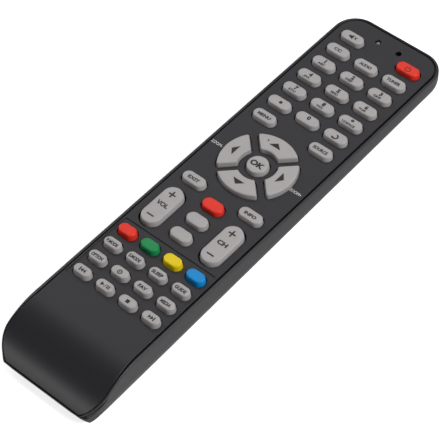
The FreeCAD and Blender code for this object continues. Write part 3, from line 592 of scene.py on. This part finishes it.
def rubber(name, colour):
    """Silicone rubber: soft broad sheen, a little light under its skin, and worn-in fine grain."""
    material, tree = new_material(name)
    place = add_node(tree, "ShaderNodeTexCoord").outputs["Object"]
    clouds = add_node(tree, "ShaderNodeTexNoise", {"Vector": place, "Scale": 1000 / 6, "Detail": 3.0})
    tone = add_node(tree, "ShaderNodeMix", {
        0: clouds.outputs["Fac"], 6: linear(colour, 0.94), 7: linear(colour, 1.06)}, data_type="RGBA")
    grain = add_node(tree, "ShaderNodeTexNoise", {"Vector": place, "Scale": 1000 / 0.2, "Detail": 2.0})
    bump = add_node(tree, "ShaderNodeBump", {
        "Height": grain.outputs["Fac"], "Strength": 0.4, "Distance": 0.00002})
    sheen = add_node(tree, "ShaderNodeMapRange", {
        "Value": clouds.outputs["Fac"], "To Min": 0.3, "To Max": 0.4})
    skin = add_node(tree, "ShaderNodeBsdfPrincipled", {
        "Base Color": tone.outputs[2], "Roughness": sheen.outputs["Result"],
        "Normal": bump.outputs["Normal"], "IOR": 1.41, "Subsurface Weight": 0.08,
        "Subsurface Radius": (0.0006, 0.0005, 0.0005), "Subsurface Scale": 1.0})
    add_node(tree, "ShaderNodeOutputMaterial", {"Surface": skin.outputs["BSDF"]})
    return material


rubbers = {name: rubber("silicone_" + name, colour) for name, colour in KEY_RUBBER.items()}
straight_cap = key_tree("straight_cap", cap_profile(FLANGE, FOOT))
round_cap = key_tree("round_cap", cap_profile(OK_FLANGE, FOOT))
rocker_cap = key_tree("rocker_cap", cap_profile(ROCKER_FOOT, ROCKER_FOOT))
for name, (size, x, y) in KEYS.items():
    piece, colour = name[4:] + "_cap", KEY_COLOURS.get(name, "grey_rubber")
    tree = rocker_cap if size == ROCKER_KEY else round_cap if name == "key_ok" else straight_cap
    mesh = grown(piece, tree, {
        "Half Straight": (max(size) - min(size)) / 2, "End Radius": min(size) / 2,
        "Turn": math.pi / 2 if size == ROCKER_KEY else 0.0, "Finish": rubbers[colour]})
    mesh.transform(FASCIA @ Matrix.Translation((x, y, 0)))
    dress(piece, mesh, rubbers[colour], name, name)


# Arrow pad. Four quarter-ring caps of the same grey rubber round the OK key, each with a soft edge
# that runs round both arcs and both straight sides.
ARROW_BEND_UP = 0.62

for name, turn in ARROWS.items():
    piece, cap = name[4:] + "_cap", Sheet()
    flange, foot = ring_outline(turn, -FLANGE), ring_outline(turn, -FOOT)
    cap.fill(flange, [], FLANGE_BOTTOM, up=-1.0)
    cap.fill(flange, [foot], FLANGE_TOP)
    cap.wall([(flange, FLANGE_TOP, math.pi / 2), (flange, FLANGE_BOTTOM, math.pi / 2)])
    edge = leant_in(BEND_START) - FOOT
    rounds = [(ring_outline(turn, edge + BEND_IN * (1 - math.cos(lift))),
               BEND_START + ARROW_BEND_UP * math.sin(lift), math.pi / 2 - lift) for lift in reversed(BENDS)]
    cap.wall(rounds + [(foot, FLANGE_TOP, math.pi / 2)])
    cap.fill(ring_outline(turn, edge + BEND_IN), [], BEND_START + ARROW_BEND_UP)
    dress(piece, cap.mesh(piece), rubbers["grey_rubber"], name, name)


# Legends. Charcoal ink printed on the caps, and white ink on the cover: generic words, numbers,
# letters and signs, each a flat film that lies on its key and moves with it.
INK_HEIGHT, INK_PLACE, ZOOM_HEIGHT = 1.838, (0.3, -0.4), 0.012
DIGIT_SIZE, LETTER_SIZE, WORD_SIZE, OK_SIZE, ROCKER_SIZE, ZOOM_SIZE = 2.1, 1.15, 1.55, 2.7, 2.1, 1.3
PLUS_Y, MINUS_Y, SIGN_LENGTH, SIGN_LINE = 6.15, -6.0, 3.2, 0.65
DIGITS = {"1": "ABC", "2": "DEF", "3": "GHI", "4": "JKL", "5": "MNO", "6": "PQR", "7": "STU",
          "8": "VWX", "9": "YZ/SPACE", "0": ""}
WORDS = {"captions": ("CC", 3.5), "audio": ("AUDIO", 5.6), "tuner": ("TUNER", 6.2), "menu": ("MENU", 6.0),
         "source": ("SOURCE", 6.6), "exit": ("EXIT", 5.2), "info": ("INFO", 5.4),
         "picture": ("P.MODE", 5.2), "sound": ("S.MODE", 5.2), "sleep": ("SLEEP", 5.0),
         "guide": ("GUIDE", 5.0), "option": ("OPTION", 5.2), "favourite": ("FAV", 3.8),
         "media": ("MEDIA", 4.6)}
# Signs. A shape is given by its corners, anticlockwise, and a bar by its middle, width and height
SHAPES = {
    "mute": [((-0.85, -0.35), (0.2, -1.1), (0.2, 1.5), (-0.85, 0.75)),
             ((0.6, 0.82), (1.75, -0.65), (2.0, -0.42), (0.85, 1.05)),
             ((0.6, -0.42), (0.85, -0.65), (2.0, 0.82), (1.75, 1.05))],
    "return": [((-1.75, -0.35), (-1.05, -1.55), (-0.35, -0.75))],
    "previous": [((-1.0, 0.2), (0.2, -0.7), (0.2, 1.1)), ((0.2, 0.2), (1.3, -0.7), (1.3, 1.1))],
    "next": [((-1.3, -0.7), (-0.2, 0.2), (-1.3, 1.1)), ((-0.2, -0.7), (1.0, 0.2), (-0.2, 1.1))],
    "play_pause": [((-2.0, -0.7), (-0.5, 0.2), (-2.0, 1.1)),
                   ((-0.4, -0.6), (-0.1, -0.6), (0.5, 1.0), (0.2, 1.0))],
    "up": [((-3.45, 10.8), (1.95, 10.8), (-0.75, 13.1))],
    "down": [((-3.35, -10.0), (-0.65, -12.4), (2.05, -10.0))],
    "left": [((-10.9, -2.35), (-10.9, 3.15), (-12.95, 0.4))],
    "right": [((9.9, -2.35), (12.2, 0.4), (9.9, 3.15))]}
BARS = {"mute": [(-1.3, 0.2, 0.9, 1.1)], "power": [(-0.1, 0.85, 0.36, 1.5)],
        "display": [(-0.2, 0.1, 0.6, 0.42)], "previous": [(-1.25, 0.2, 0.5, 1.8)],
        "next": [(1.25, 0.2, 0.5, 1.8)], "play_pause": [(0.95, 0.2, 0.45, 1.6), (1.7, 0.2, 0.45, 1.6)],
        "stop": [(-0.2, 0.15, 1.5, 1.5)]}
# A ring's middle, radius and line, and the start and sweep of its arc in degrees where it isn't whole
RINGS = {"power": [(-0.1, 0.05, 1.15, 0.36, 122, 296)], "dash": [(0.2, 0.35, 0.36, 0.72)],
         "return": [(-0.1, -0.1, 1.0, 0.62, -150, 240)], "display": [(-0.2, 0.1, 0.8, 0.42)],
         "up": [(-4.75, 12.1, 0.2, 0.4)]}


class Print:
    """Gathers flat printed shapes, in millimetres from a key's middle."""

    def __init__(self, x, y):
        self.x, self.y, self.points, self.faces = x, y, [], []

    def shape(self, *corners):
        """A flat shape with these corners."""
        start = len(self.points)
        self.points += [(self.x + x, self.y + y) for x, y in corners]
        self.faces.append(list(range(start, len(self.points))))

    def bar(self, x, y, width, height):
        """An upright rectangle about a place."""
        self.shape((x - width / 2, y - height / 2), (x + width / 2, y - height / 2),
                   (x + width / 2, y + height / 2), (x - width / 2, y + height / 2))

    def ring(self, x, y, radius, line, start=0, sweep=360):
        """A line of ink along an arc, or a dot where the line is twice as wide as the radius."""
        steps = max(6, round(sweep / 15))
        outer = [tuple(p) for p in arc(x, y, radius + line / 2, start, sweep, steps)]
        inner = [tuple(p) for p in arc(x, y, radius - line / 2, start, sweep, steps)]
        for i in range(steps):
            self.shape(inner[i], outer[i], outer[i + 1], inner[i + 1])

    def words(self, text, x, y, height, width=None, weight=0.05):
        """Lettering centred on a place, with capitals of a height, squeezed or spread to a width."""
        curve = bpy.data.curves.new("lettering", "FONT")
        curve.body, curve.offset, curve.resolution_u = text, weight, 3
        host = bpy.data.objects.new("lettering", curve)
        bpy.context.scene.collection.objects.link(host)
        graph = bpy.context.evaluated_depsgraph_get()
        mesh = bpy.data.meshes.new_from_object(host.evaluated_get(graph), depsgraph=graph)
        spots = [v.co for v in mesh.vertices]
        left, right = min(p.x for p in spots), max(p.x for p in spots)
        low, high = min(p.y for p in spots), max(p.y for p in spots)
        tall = height / (high - low)
        wide = width / (right - left) if width else tall
        start = len(self.points)
        self.points += [(self.x + x + (p.x - (left + right) / 2) * wide,
                         self.y + y + (p.y - (low + high) / 2) * tall) for p in spots]
        self.faces += [[start + i for i in face.vertices] for face in mesh.polygons]
        bpy.data.objects.remove(host)

    def mesh(self, name, height):
        """The print as a mesh, at a height over the fascia."""
        mesh = bpy.data.meshes.new(name)
        mesh.from_pydata([FASCIA @ Vector((x, y, height)) for x, y in self.points], [], self.faces)
        return mesh


def ink(name, colour):
    """Printed ink: a matt film whose cover varies a little, as pad printing leaves it."""
    material, tree = new_material(name)
    place = add_node(tree, "ShaderNodeTexCoord").outputs["Object"]
    patches = add_node(tree, "ShaderNodeTexNoise", {"Vector": place, "Scale": 1000 / 0.5, "Detail": 2.0})
    tone = add_node(tree, "ShaderNodeMix", {
        0: patches.outputs["Fac"], 6: linear(colour),
        7: [c + (0.5 - c) * 0.06 for c in linear(colour)[:3]] + [1]}, data_type="RGBA")
    skin = add_node(tree, "ShaderNodeBsdfPrincipled", {
        "Base Color": tone.outputs[2], "Roughness": 0.55, "IOR": 1.5})
    add_node(tree, "ShaderNodeOutputMaterial", {"Surface": skin.outputs["BSDF"]})
    return material


def key_print(name):
    """Everything that is printed on one key."""
    size, x, y = KEYS.get("key_" + name, ((0, 0), 0, 0))
    marks = Print(x + INK_PLACE[0], y + INK_PLACE[1])
    if name in DIGITS:
        marks.words(name, 0.0, 0.95, DIGIT_SIZE, weight=0.06)
        if DIGITS[name]:
            marks.words(DIGITS[name], -0.6, -0.95, LETTER_SIZE, 0.6 * len(DIGITS[name]) + 1.5)
    elif name in WORDS:
        word, width = WORDS[name]
        marks.words(word, -0.3, 0.15, WORD_SIZE, width)
    elif name == "ok":
        marks.words("OK", -0.35, 0.1, OK_SIZE, 5.9)
    elif name in ("volume", "channel"):
        word, width = {"volume": ("VOL", 5.2), "channel": ("CH", 4.5)}[name]
        marks.words(word, -0.3, 0.5, ROCKER_SIZE, width)
        for middle in (PLUS_Y, MINUS_Y):
            marks.bar(-0.5, middle, SIGN_LENGTH, SIGN_LINE)
        for way in (1, -1):
            marks.bar(-0.5, PLUS_Y + way * 0.98, SIGN_LINE, 1.3)
    for corners in SHAPES.get(name, ()):
        marks.shape(*corners)
    for bar in BARS.get(name, ()):
        marks.bar(*bar)
    for ring in RINGS.get(name, ()):
        marks.ring(*ring)
    return marks


# Pad-printed ink: a matt charcoal that lies thin on the rubber
dark_ink = ink("charcoal_pad_print", "#1b191b")
for name in [key[4:] for key in list(KEYS) + list(ARROWS)]:
    marks = key_print(name)
    if marks.faces:
        dress(name + "_legend", marks.mesh(name + "_legend", INK_HEIGHT), dark_ink, "key_" + name)

zoom = Print(0, 0)
zoom.words("ZOOM-", -19.4, -0.6, ZOOM_SIZE, 5.3, 0.0)
zoom.words("ZOOM+", 18.5, -0.6, ZOOM_SIZE, 5.5, 0.0)
# Screen-printed ink: an even matt white on the cover
white_ink = ink("white_screen_print", "#fbfbfb")
dress("zoom_legend", zoom.mesh("zoom_legend", ZOOM_HEIGHT), white_ink, "remote")


# Indicator lamp. A milky epoxy lamp on the board, whose round tip stands in the left of the cover's
# two holes; the right one is left open.
BOARD_TOP, LAMP_RADIUS, LAMP_NOSE, LAMP_NOSE_LENGTH = -3.25, 0.95, -0.95, 0.45


def plain_plastic(name, colour, roughness, transmission=0.0, ior=1.5):
    """Clear or coloured cast plastic with small swirls in its body."""
    material, tree = new_material(name)
    place = add_node(tree, "ShaderNodeTexCoord").outputs["Object"]
    swirl = add_node(tree, "ShaderNodeTexNoise", {"Vector": place, "Scale": 1000 / 1.5, "Distortion": 0.6})
    tone = add_node(tree, "ShaderNodeMix", {
        0: swirl.outputs["Fac"], 6: linear(colour, 0.92), 7: linear(colour)}, data_type="RGBA")
    skin = add_node(tree, "ShaderNodeBsdfPrincipled", {
        "Base Color": tone.outputs[2], "Roughness": roughness, "IOR": ior,
        "Transmission Weight": transmission})
    add_node(tree, "ShaderNodeOutputMaterial", {"Surface": skin.outputs["BSDF"]})
    return material


lamp_profile = [(0, 0, BOARD_TOP), (1, 0.5, BOARD_TOP), (1, 0.5, -1.8), (1, 0.45, -1.75), (1, 0, -1.75),
                (1, 0, LAMP_NOSE)]
lamp_profile += [(math.cos(turn), 0, LAMP_NOSE + LAMP_NOSE_LENGTH * math.sin(turn))
                 for turn in (math.pi / 12 * step for step in range(1, 7))]
# Diffusing epoxy: a pale milky body with a soft gloss
milky = plain_plastic("milky_epoxy", "#8f8d8b", roughness=0.3)
lamp_mesh = grown("indicator_lens", key_tree("lamp_form", lamp_profile), {
    "Half Straight": 0.0, "End Radius": LAMP_RADIUS, "Turn": 0.0, "Finish": milky})
lamp_mesh.transform(FASCIA @ Matrix.Translation((-LAMP_X, LAMP_ROW, 0)))
dress("indicator_lens", lamp_mesh, milky, "remote", "indicator_lamp")


# Infrared window and battery door. The window is a strip of polycarbonate, all but black to the eye,
# let into the far end. The door is of the tray's own grained ABS, with five finger grooves.
WINDOW_EDGE, DOOR_EDGE = 0.15, 0.15

# Smoked polycarbonate: polished and nearly black, with a red depth where light gets through
smoked = plain_plastic("smoked_polycarbonate", "#140a0c", roughness=0.12, transmission=0.2, ior=1.58)
dress("infrared_lens", rounded_copy("infrared_window", WINDOW_EDGE), smoked, "remote",
      "infrared_window")
dress("sliding_door", rounded_copy("battery_door", DOOR_EDGE, near_corners=True), satin_abs,
      "battery_door", "battery_door")


# Keypad mat, board and chip. A black silicone sheet lies on a fibreglass board with a green solder
# mask; the chip is soldered to its underside by tinned legs.
MAT_EDGE, BOARD_EDGE, CHIP_EDGE, THREADS_PER_MM = 0.12, 0.08, 0.1, 1.2

mat_rubber = rubber("silicone_mat_black", "#242325")
dress("rubber_mat", rounded_copy("keypad_mat", MAT_EDGE), mat_rubber, "remote", "keypad_mat")


def laminate(name):
    """Solder mask over woven glass: green lacquer that shows the weave, with a soft gloss."""
    material, tree = new_material(name)
    place = add_node(tree, "ShaderNodeTexCoord").outputs["Object"]
    threads = add_node(tree, "ShaderNodeMapping", {"Vector": place, "Scale": [1000 * THREADS_PER_MM] * 3})
    weave = add_node(tree, "ShaderNodeTexChecker", {
        "Vector": threads.outputs[0], "Color1": linear("#1c5a34"), "Color2": linear("#206a3d"),
        "Scale": 1.0})
    bump = add_node(tree, "ShaderNodeBump", {
        "Height": weave.outputs["Fac"], "Strength": 0.2, "Distance": 0.02 / 1000})
    skin = add_node(tree, "ShaderNodeBsdfPrincipled", {
        "Base Color": weave.outputs["Color"], "Roughness": 0.3, "Normal": bump.outputs["Normal"],
        "IOR": 1.55})
    add_node(tree, "ShaderNodeOutputMaterial", {"Surface": skin.outputs["BSDF"]})
    return material


dress("printed_board", rounded_copy("circuit_board", BOARD_EDGE), laminate("green_solder_mask"),
      "remote", "circuit_board")
# Moulding compound: epoxy filled with silica, a dull black with a sandy grain
compound = moulded("black_epoxy_compound", "#222224", roughness=0.55, grain=0.1, relief=0.02)
dress("control_chip", rounded_copy("controller_chip", CHIP_EDGE), compound, "remote",
      "controller_chip")


# Cells, contacts, springs and screws. Two AAA cells in printed foil sleeves lie head to tail between
# nickelled steel contacts and conical springs; zinc-plated screws hold the case together.
CELL_LOW, CELL_HIGH = [1000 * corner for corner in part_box("batteries")]
CELL_RADIUS, CELL_Z, CELL_LENGTH = (CELL_HIGH.z - CELL_LOW.z) / 2, (CELL_HIGH.z + CELL_LOW.z) / 2, 44.5
CELL_X = CELL_HIGH.x - CELL_RADIUS
SPRING_WIDE, SPRING_NARROW, SPRING_LENGTH, SPRING_WIRE, SPRING_TURNS = 3.3, 2.1, 4.6, 0.5, 4.5
PLATE_LOW, PLATE_HIGH = [1000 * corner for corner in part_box("battery_springs")]
PLATE_SIDE, PLATE_THICKNESS, PLATE_EDGE = PLATE_HIGH.z - PLATE_LOW.z, 0.4, 0.12
CONTACT_EDGE, SCREW_EDGE = 0.12, 0.08
# Along a cell, parts of its length where the gold print and the bare steel start
GOLD_FROM, BARE_FROM = 0.72, 0.965


def metal(name, colour, roughness, brushed):
    """Bare or plated metal: fine rolling lines, a few times longer than wide, break its sheen."""
    material, tree = new_material(name)
    place = add_node(tree, "ShaderNodeTexCoord").outputs["Object"]
    drawn = add_node(tree, "ShaderNodeMapping", {
        "Vector": place, "Scale": (1000 / brushed, 1000 / (6 * brushed), 1000 / brushed)})
    lines = add_node(tree, "ShaderNodeTexNoise", {"Vector": drawn.outputs[0], "Scale": 1.0, "Detail": 3.0})
    sheen = add_node(tree, "ShaderNodeMapRange", {
        "Value": lines.outputs["Fac"], "To Min": roughness - 0.08, "To Max": roughness + 0.1})
    skin = add_node(tree, "ShaderNodeBsdfPrincipled", {
        "Base Color": linear(colour), "Metallic": 1.0, "Roughness": sheen.outputs["Result"]})
    add_node(tree, "ShaderNodeOutputMaterial", {"Surface": skin.outputs["BSDF"]})
    return material


def lying(x, y, z, way=1):
    """The place in the case of a form that is drawn upright and lies along it, either way round."""
    return CASE @ Matrix.Translation((x, y, z)) @ Matrix.Rotation(-way * math.pi / 2, 4, "X")


# Nickelled steel: a warm grey with clear, slightly drawn-out reflections
nickel = metal("nickelled_steel", "#c9c4bb", roughness=0.3, brushed=0.15)
# Printed foil: metallic ink under a thin lacquer, dark and gold, with bare steel at the stud
sleeve, sleeve_tree = new_material("printed_foil_sleeve")
band = add_node(sleeve_tree, "ShaderNodeAttribute", attribute_name="along_cell").outputs["Fac"]
gold, bare = [add_node(sleeve_tree, "ShaderNodeMath", {
    0: band, 1: start}, operation="GREATER_THAN").outputs[0] for start in (GOLD_FROM, BARE_FROM)]
paint = add_node(sleeve_tree, "ShaderNodeMix", {
    0: gold, 6: linear("#20232b"), 7: linear("#b57a3a")}, data_type="RGBA")
coat = add_node(sleeve_tree, "ShaderNodeMix", {
    0: bare, 6: paint.outputs[2], 7: linear("#c9c4bb")}, data_type="RGBA")
scuffs = add_node(sleeve_tree, "ShaderNodeTexNoise", {
    "Vector": add_node(sleeve_tree, "ShaderNodeTexCoord").outputs["Object"], "Scale": 1000 / 2,
    "Detail": 3.0})
gloss = add_node(sleeve_tree, "ShaderNodeMapRange", {
    "Value": scuffs.outputs["Fac"], "To Min": 0.2, "To Max": 0.38})
foil = add_node(sleeve_tree, "ShaderNodeBsdfPrincipled", {
    "Base Color": coat.outputs[2], "Metallic": 0.7, "Roughness": gloss.outputs["Result"]})
add_node(sleeve_tree, "ShaderNodeOutputMaterial", {"Surface": foil.outputs["BSDF"]})

cell_profile = [(0, 0, 0), (1, -1.2, 0), (1, -0.9, 0.25), (1, -0.35, 0.1), (1, -0.08, 0.35), (1, 0, 0.8),
                (1, 0, 42.0), (1, -0.1, 42.6), (1, -0.3, 43.0), (1, -0.7, 43.2), (1, -1.0, 42.95),
                (1, -3.35, 42.95), (1, -3.4, 44.2), (1, -3.65, 44.45), (0, 0, 44.5)]
cell_form = key_tree("cell_form", cell_profile)
cells = bmesh.new()
for side in (-1, 1):
    way = -side
    mesh = grown("cell", cell_form, {
        "Half Straight": 0.0, "End Radius": CELL_RADIUS, "Turn": 0.0, "Finish": sleeve})
    level = mesh.attributes.new("along_cell", "FLOAT", "POINT")
    level.data.foreach_set("value", [v.co.z / CELL_LENGTH for v in mesh.vertices])
    tail = (CELL_HIGH if way > 0 else CELL_LOW).y - way * CELL_LENGTH
    mesh.transform(lying(side * CELL_X, tail, CELL_Z, way))
    cells.from_mesh(mesh)
cell_mesh = bpy.data.meshes.new("dry_cells")
cells.to_mesh(cell_mesh)
cells.free()
dress("dry_cells", cell_mesh, sleeve, "remote", "batteries")
dress("contact_plates", rounded_copy("battery_contacts", CONTACT_EDGE), nickel, "remote",
      "battery_contacts")

coil_tree, given = form_tree("coil_form", ("Wide Radius", "Narrow Radius", "Height", "Wire Radius"))
spiral = add_node(coil_tree, "GeometryNodeCurveSpiral", {
    "Resolution": 24, "Rotations": SPRING_TURNS, "Start Radius": given["Wide Radius"],
    "End Radius": given["Narrow Radius"], "Height": given["Height"]})
wire = add_node(coil_tree, "GeometryNodeCurvePrimitiveCircle", {
    "Resolution": 8, "Radius": given["Wire Radius"]}, mode="RADIUS")
coil = add_node(coil_tree, "GeometryNodeCurveToMesh", {
    "Curve": spiral.outputs[0], "Profile Curve": wire.outputs[0], "Fill Caps": True})
end_tree(coil_tree, coil.outputs[0], given["Finish"])

# Nickelled spring wire: the same plating on drawn wire, smoother and a little darker
spring_steel = metal("spring_steel_nickelled", "#bdb8ae", roughness=0.26, brushed=0.1)
springs = bmesh.new()
for side in (-1, 1):
    way = -side
    coil_mesh = grown("coil", coil_tree, {
        "Wide Radius": SPRING_WIDE, "Narrow Radius": SPRING_NARROW, "Height": SPRING_LENGTH - SPRING_WIRE,
        "Wire Radius": SPRING_WIRE / 2, "Finish": spring_steel})
    wall = (PLATE_LOW if way > 0 else PLATE_HIGH).y
    coil_mesh.transform(lying(side * CELL_X, wall + way * (PLATE_THICKNESS + SPRING_WIRE / 2), CELL_Z, way))
    springs.from_mesh(coil_mesh)
    plate = bmesh.ops.create_cube(springs, size=1.0, matrix=CASE @ Matrix.Translation(
        (side * CELL_X, wall + way * PLATE_THICKNESS / 2, CELL_Z))
        @ Matrix.Diagonal((PLATE_SIDE, PLATE_THICKNESS, PLATE_SIDE, 1)))
    edges = {edge for vert in plate["verts"] for edge in vert.link_edges}
    bmesh.ops.bevel(springs, geom=list(edges), offset=PLATE_EDGE / 1000, segments=2, profile=0.5,
                    affect="EDGES")
spring_mesh = bpy.data.meshes.new("coil_springs")
springs.to_mesh(spring_mesh)
springs.free()
dress("coil_springs", spring_mesh, spring_steel, "remote", "battery_springs")
# Zinc-plated steel: a bluish grey, duller than nickel
zinc = metal("zinc_plated_steel", "#a9abae", roughness=0.34, brushed=0.12)
dress("cross_screws", rounded_copy("case_screws", SCREW_EDGE), zinc, "remote", "case_screws")


# Infrared emitter. A lamp with a round nose, cast in water-blue epoxy, lies under the board at the
# far end. Its two square leads bend up to the board, which they are soldered into.
EMITTER_RADIUS, FLANGE_RADIUS, NOSE_START, NOSE_LENGTH = 2.5, 2.9, 4.0, 1.86
LEAD, LEAD_X, LEAD_TOP, LEAD_EDGE = 0.5, 1.27, 9.16, 0.06
EMITTER_LOW = 1000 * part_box("infrared_emitter")[0]
EMITTER_Y, EMITTER_Z = EMITTER_LOW.y + 2 * LEAD, EMITTER_LOW.z + FLANGE_RADIUS

emitter_profile = [(0, 0, 0), (1, 0.35, 0), (1, 0.4, 0.05), (1, 0.4, 0.65), (1, 0.35, 0.7), (1, 0.02, 0.72),
                   (1, 0, NOSE_START)]
emitter_profile += [(math.cos(turn), 0, NOSE_START + NOSE_LENGTH * math.sin(turn))
                    for turn in (math.pi / 16 * step for step in range(1, 9))]
# Cast clear epoxy: glossy, with a blue tint that deepens in its body
blue_epoxy = plain_plastic("water_blue_epoxy", "#9fb4cf", roughness=0.08, transmission=0.7, ior=1.52)
emitter = bmesh.new()
emitter.from_mesh(grown("emitter", key_tree("emitter_form", emitter_profile), {
    "Half Straight": 0.0, "End Radius": EMITTER_RADIUS, "Turn": 0.0, "Finish": blue_epoxy}))
emitter.transform(lying(0, EMITTER_Y, EMITTER_Z))
lead_edges = set()
for side in (-1, 1):
    x, bend = side * LEAD_X, EMITTER_Y - 1.5 * LEAD
    for low, high in (((x, EMITTER_Y - 2 * LEAD, EMITTER_Z), (x, EMITTER_Y, EMITTER_Z)),
                      ((x, bend, EMITTER_Z), (x, bend, LEAD_TOP))):
        middle = (Vector(low) + Vector(high)) / 2
        size = Vector(high) - Vector(low)
        length = Vector((max(size.x, LEAD), max(size.y, LEAD), max(size.z, LEAD)))
        made = bmesh.ops.create_cube(emitter, size=1.0, matrix=CASE @ Matrix.Translation(middle)
                                     @ Matrix.Diagonal((*length, 1)))
        lead_edges |= {edge for vert in made["verts"] for edge in vert.link_edges}
bmesh.ops.bevel(emitter, geom=list(lead_edges), offset=LEAD_EDGE / 1000, segments=1, affect="EDGES")
emitter_mesh = bpy.data.meshes.new("emitter_lamp")
emitter.to_mesh(emitter_mesh)
emitter.free()
dress("emitter_lamp", emitter_mesh, blue_epoxy, "remote", "infrared_emitter")


# Floor, light and camera. A sheet of pale paper that can be looked through from below. Soft boxes
# stand to the right, the left, the far end and low at the near end, and one below lights the back.
# The camera is at the photograph's own place and has a long lens. Sizes here are in metres.
FLOOR_HALF, FLOOR_Z, FLOOR_GLOW = 3, -1e-4, 0.75
WORLD_LIGHT = 0.14
# Name, place, what it points at, width, height, and power in watts
SOFT_BOXES = (("left_light", (-0.95, 0.1, 0.45), (0, 0, 0), 0.4, 0.4, 2.5),
              ("right_light", (0.8, 0.15, 0.8), (0, 0, 0), 0.5, 0.5, 8.5),
              ("far_light", (-0.49, 0.55, 0.95), (0, 0, 0), 0.9, 0.9, 1.9),
              ("near_light", (-0.42, -0.95, 0.22), (0, -0.09, 0.01), 0.5, 0.25, 1.1),
              ("back_light", (0, 0, -1.2), (0, 0, 0), 0.6, 0.6, 9.0))
LENS, SENSOR, SHIFT = 150.14, 36, (0.0002, -0.0008)
CAMERA_PLACE, CAMERA_TURN = (0.28433, -0.31449, 0.54381), (37.8608, 1.8275, 40.4139)

floor_mesh = bpy.data.meshes.new("floor")
floor_mesh.from_pydata([(x * FLOOR_HALF, y * FLOOR_HALF, FLOOR_Z)
                        for x, y in ((-1, -1), (1, -1), (1, 1), (-1, 1))], [], [(0, 1, 2, 3)])
floor = bpy.data.objects.new("floor", floor_mesh)
bpy.context.scene.collection.objects.link(floor)
# Matt paper that glows a little for the camera alone, and is clear from below and for shadows
paper, paper_tree = new_material("pale_paper")
matt = add_node(paper_tree, "ShaderNodeBsdfDiffuse", {"Color": linear("#f2f2f2")})
seen = add_node(paper_tree, "ShaderNodeLightPath")
glow = add_node(paper_tree, "ShaderNodeEmission", {
    "Color": linear("#ffffff"), "Strength": add_node(paper_tree, "ShaderNodeMath", {
        0: seen.outputs["Is Camera Ray"], 1: FLOOR_GLOW}, operation="MULTIPLY").outputs[0]})
both = add_node(paper_tree, "ShaderNodeAddShader", {0: matt.outputs[0], 1: glow.outputs[0]})
side = add_node(paper_tree, "ShaderNodeNewGeometry")
clear = add_node(paper_tree, "ShaderNodeBsdfTransparent")
below = add_node(paper_tree, "ShaderNodeMath", {
    0: side.outputs["Backfacing"], 1: seen.outputs["Is Shadow Ray"]}, operation="MAXIMUM")
sheet = add_node(paper_tree, "ShaderNodeMixShader", {
    0: below.outputs[0], 1: both.outputs[0], 2: clear.outputs[0]})
add_node(paper_tree, "ShaderNodeOutputMaterial", {"Surface": sheet.outputs[0]})
floor_mesh.materials.append(paper)

world = bpy.data.worlds.new("studio")
bpy.context.scene.world = world
world.use_nodes = True
sky = world.node_tree.nodes["Background"].inputs
sky["Color"].default_value = linear("#ffffff")
sky["Strength"].default_value = WORLD_LIGHT

for name, place, target, width, height, power in SOFT_BOXES:
    data = bpy.data.lights.new(name, "AREA")
    data.shape, data.size, data.size_y, data.energy = "RECTANGLE", width, height, power
    lamp = bpy.data.objects.new(name, data)
    bpy.context.scene.collection.objects.link(lamp)
    lamp.location = place
    lamp.rotation_euler = (Vector(target) - Vector(place)).to_track_quat("-Z", "Y").to_euler()

camera_data = bpy.data.cameras.new("camera")
camera_data.lens, camera_data.sensor_width = LENS, SENSOR
camera_data.shift_x, camera_data.shift_y = SHIFT
camera = bpy.data.objects.new("camera", camera_data)
bpy.context.scene.collection.objects.link(camera)
camera.location = CAMERA_PLACE
camera.rotation_euler = [math.radians(angle) for angle in CAMERA_TURN]
bpy.context.scene.camera = camera
bpy.context.scene.view_settings.view_transform = "Standard"
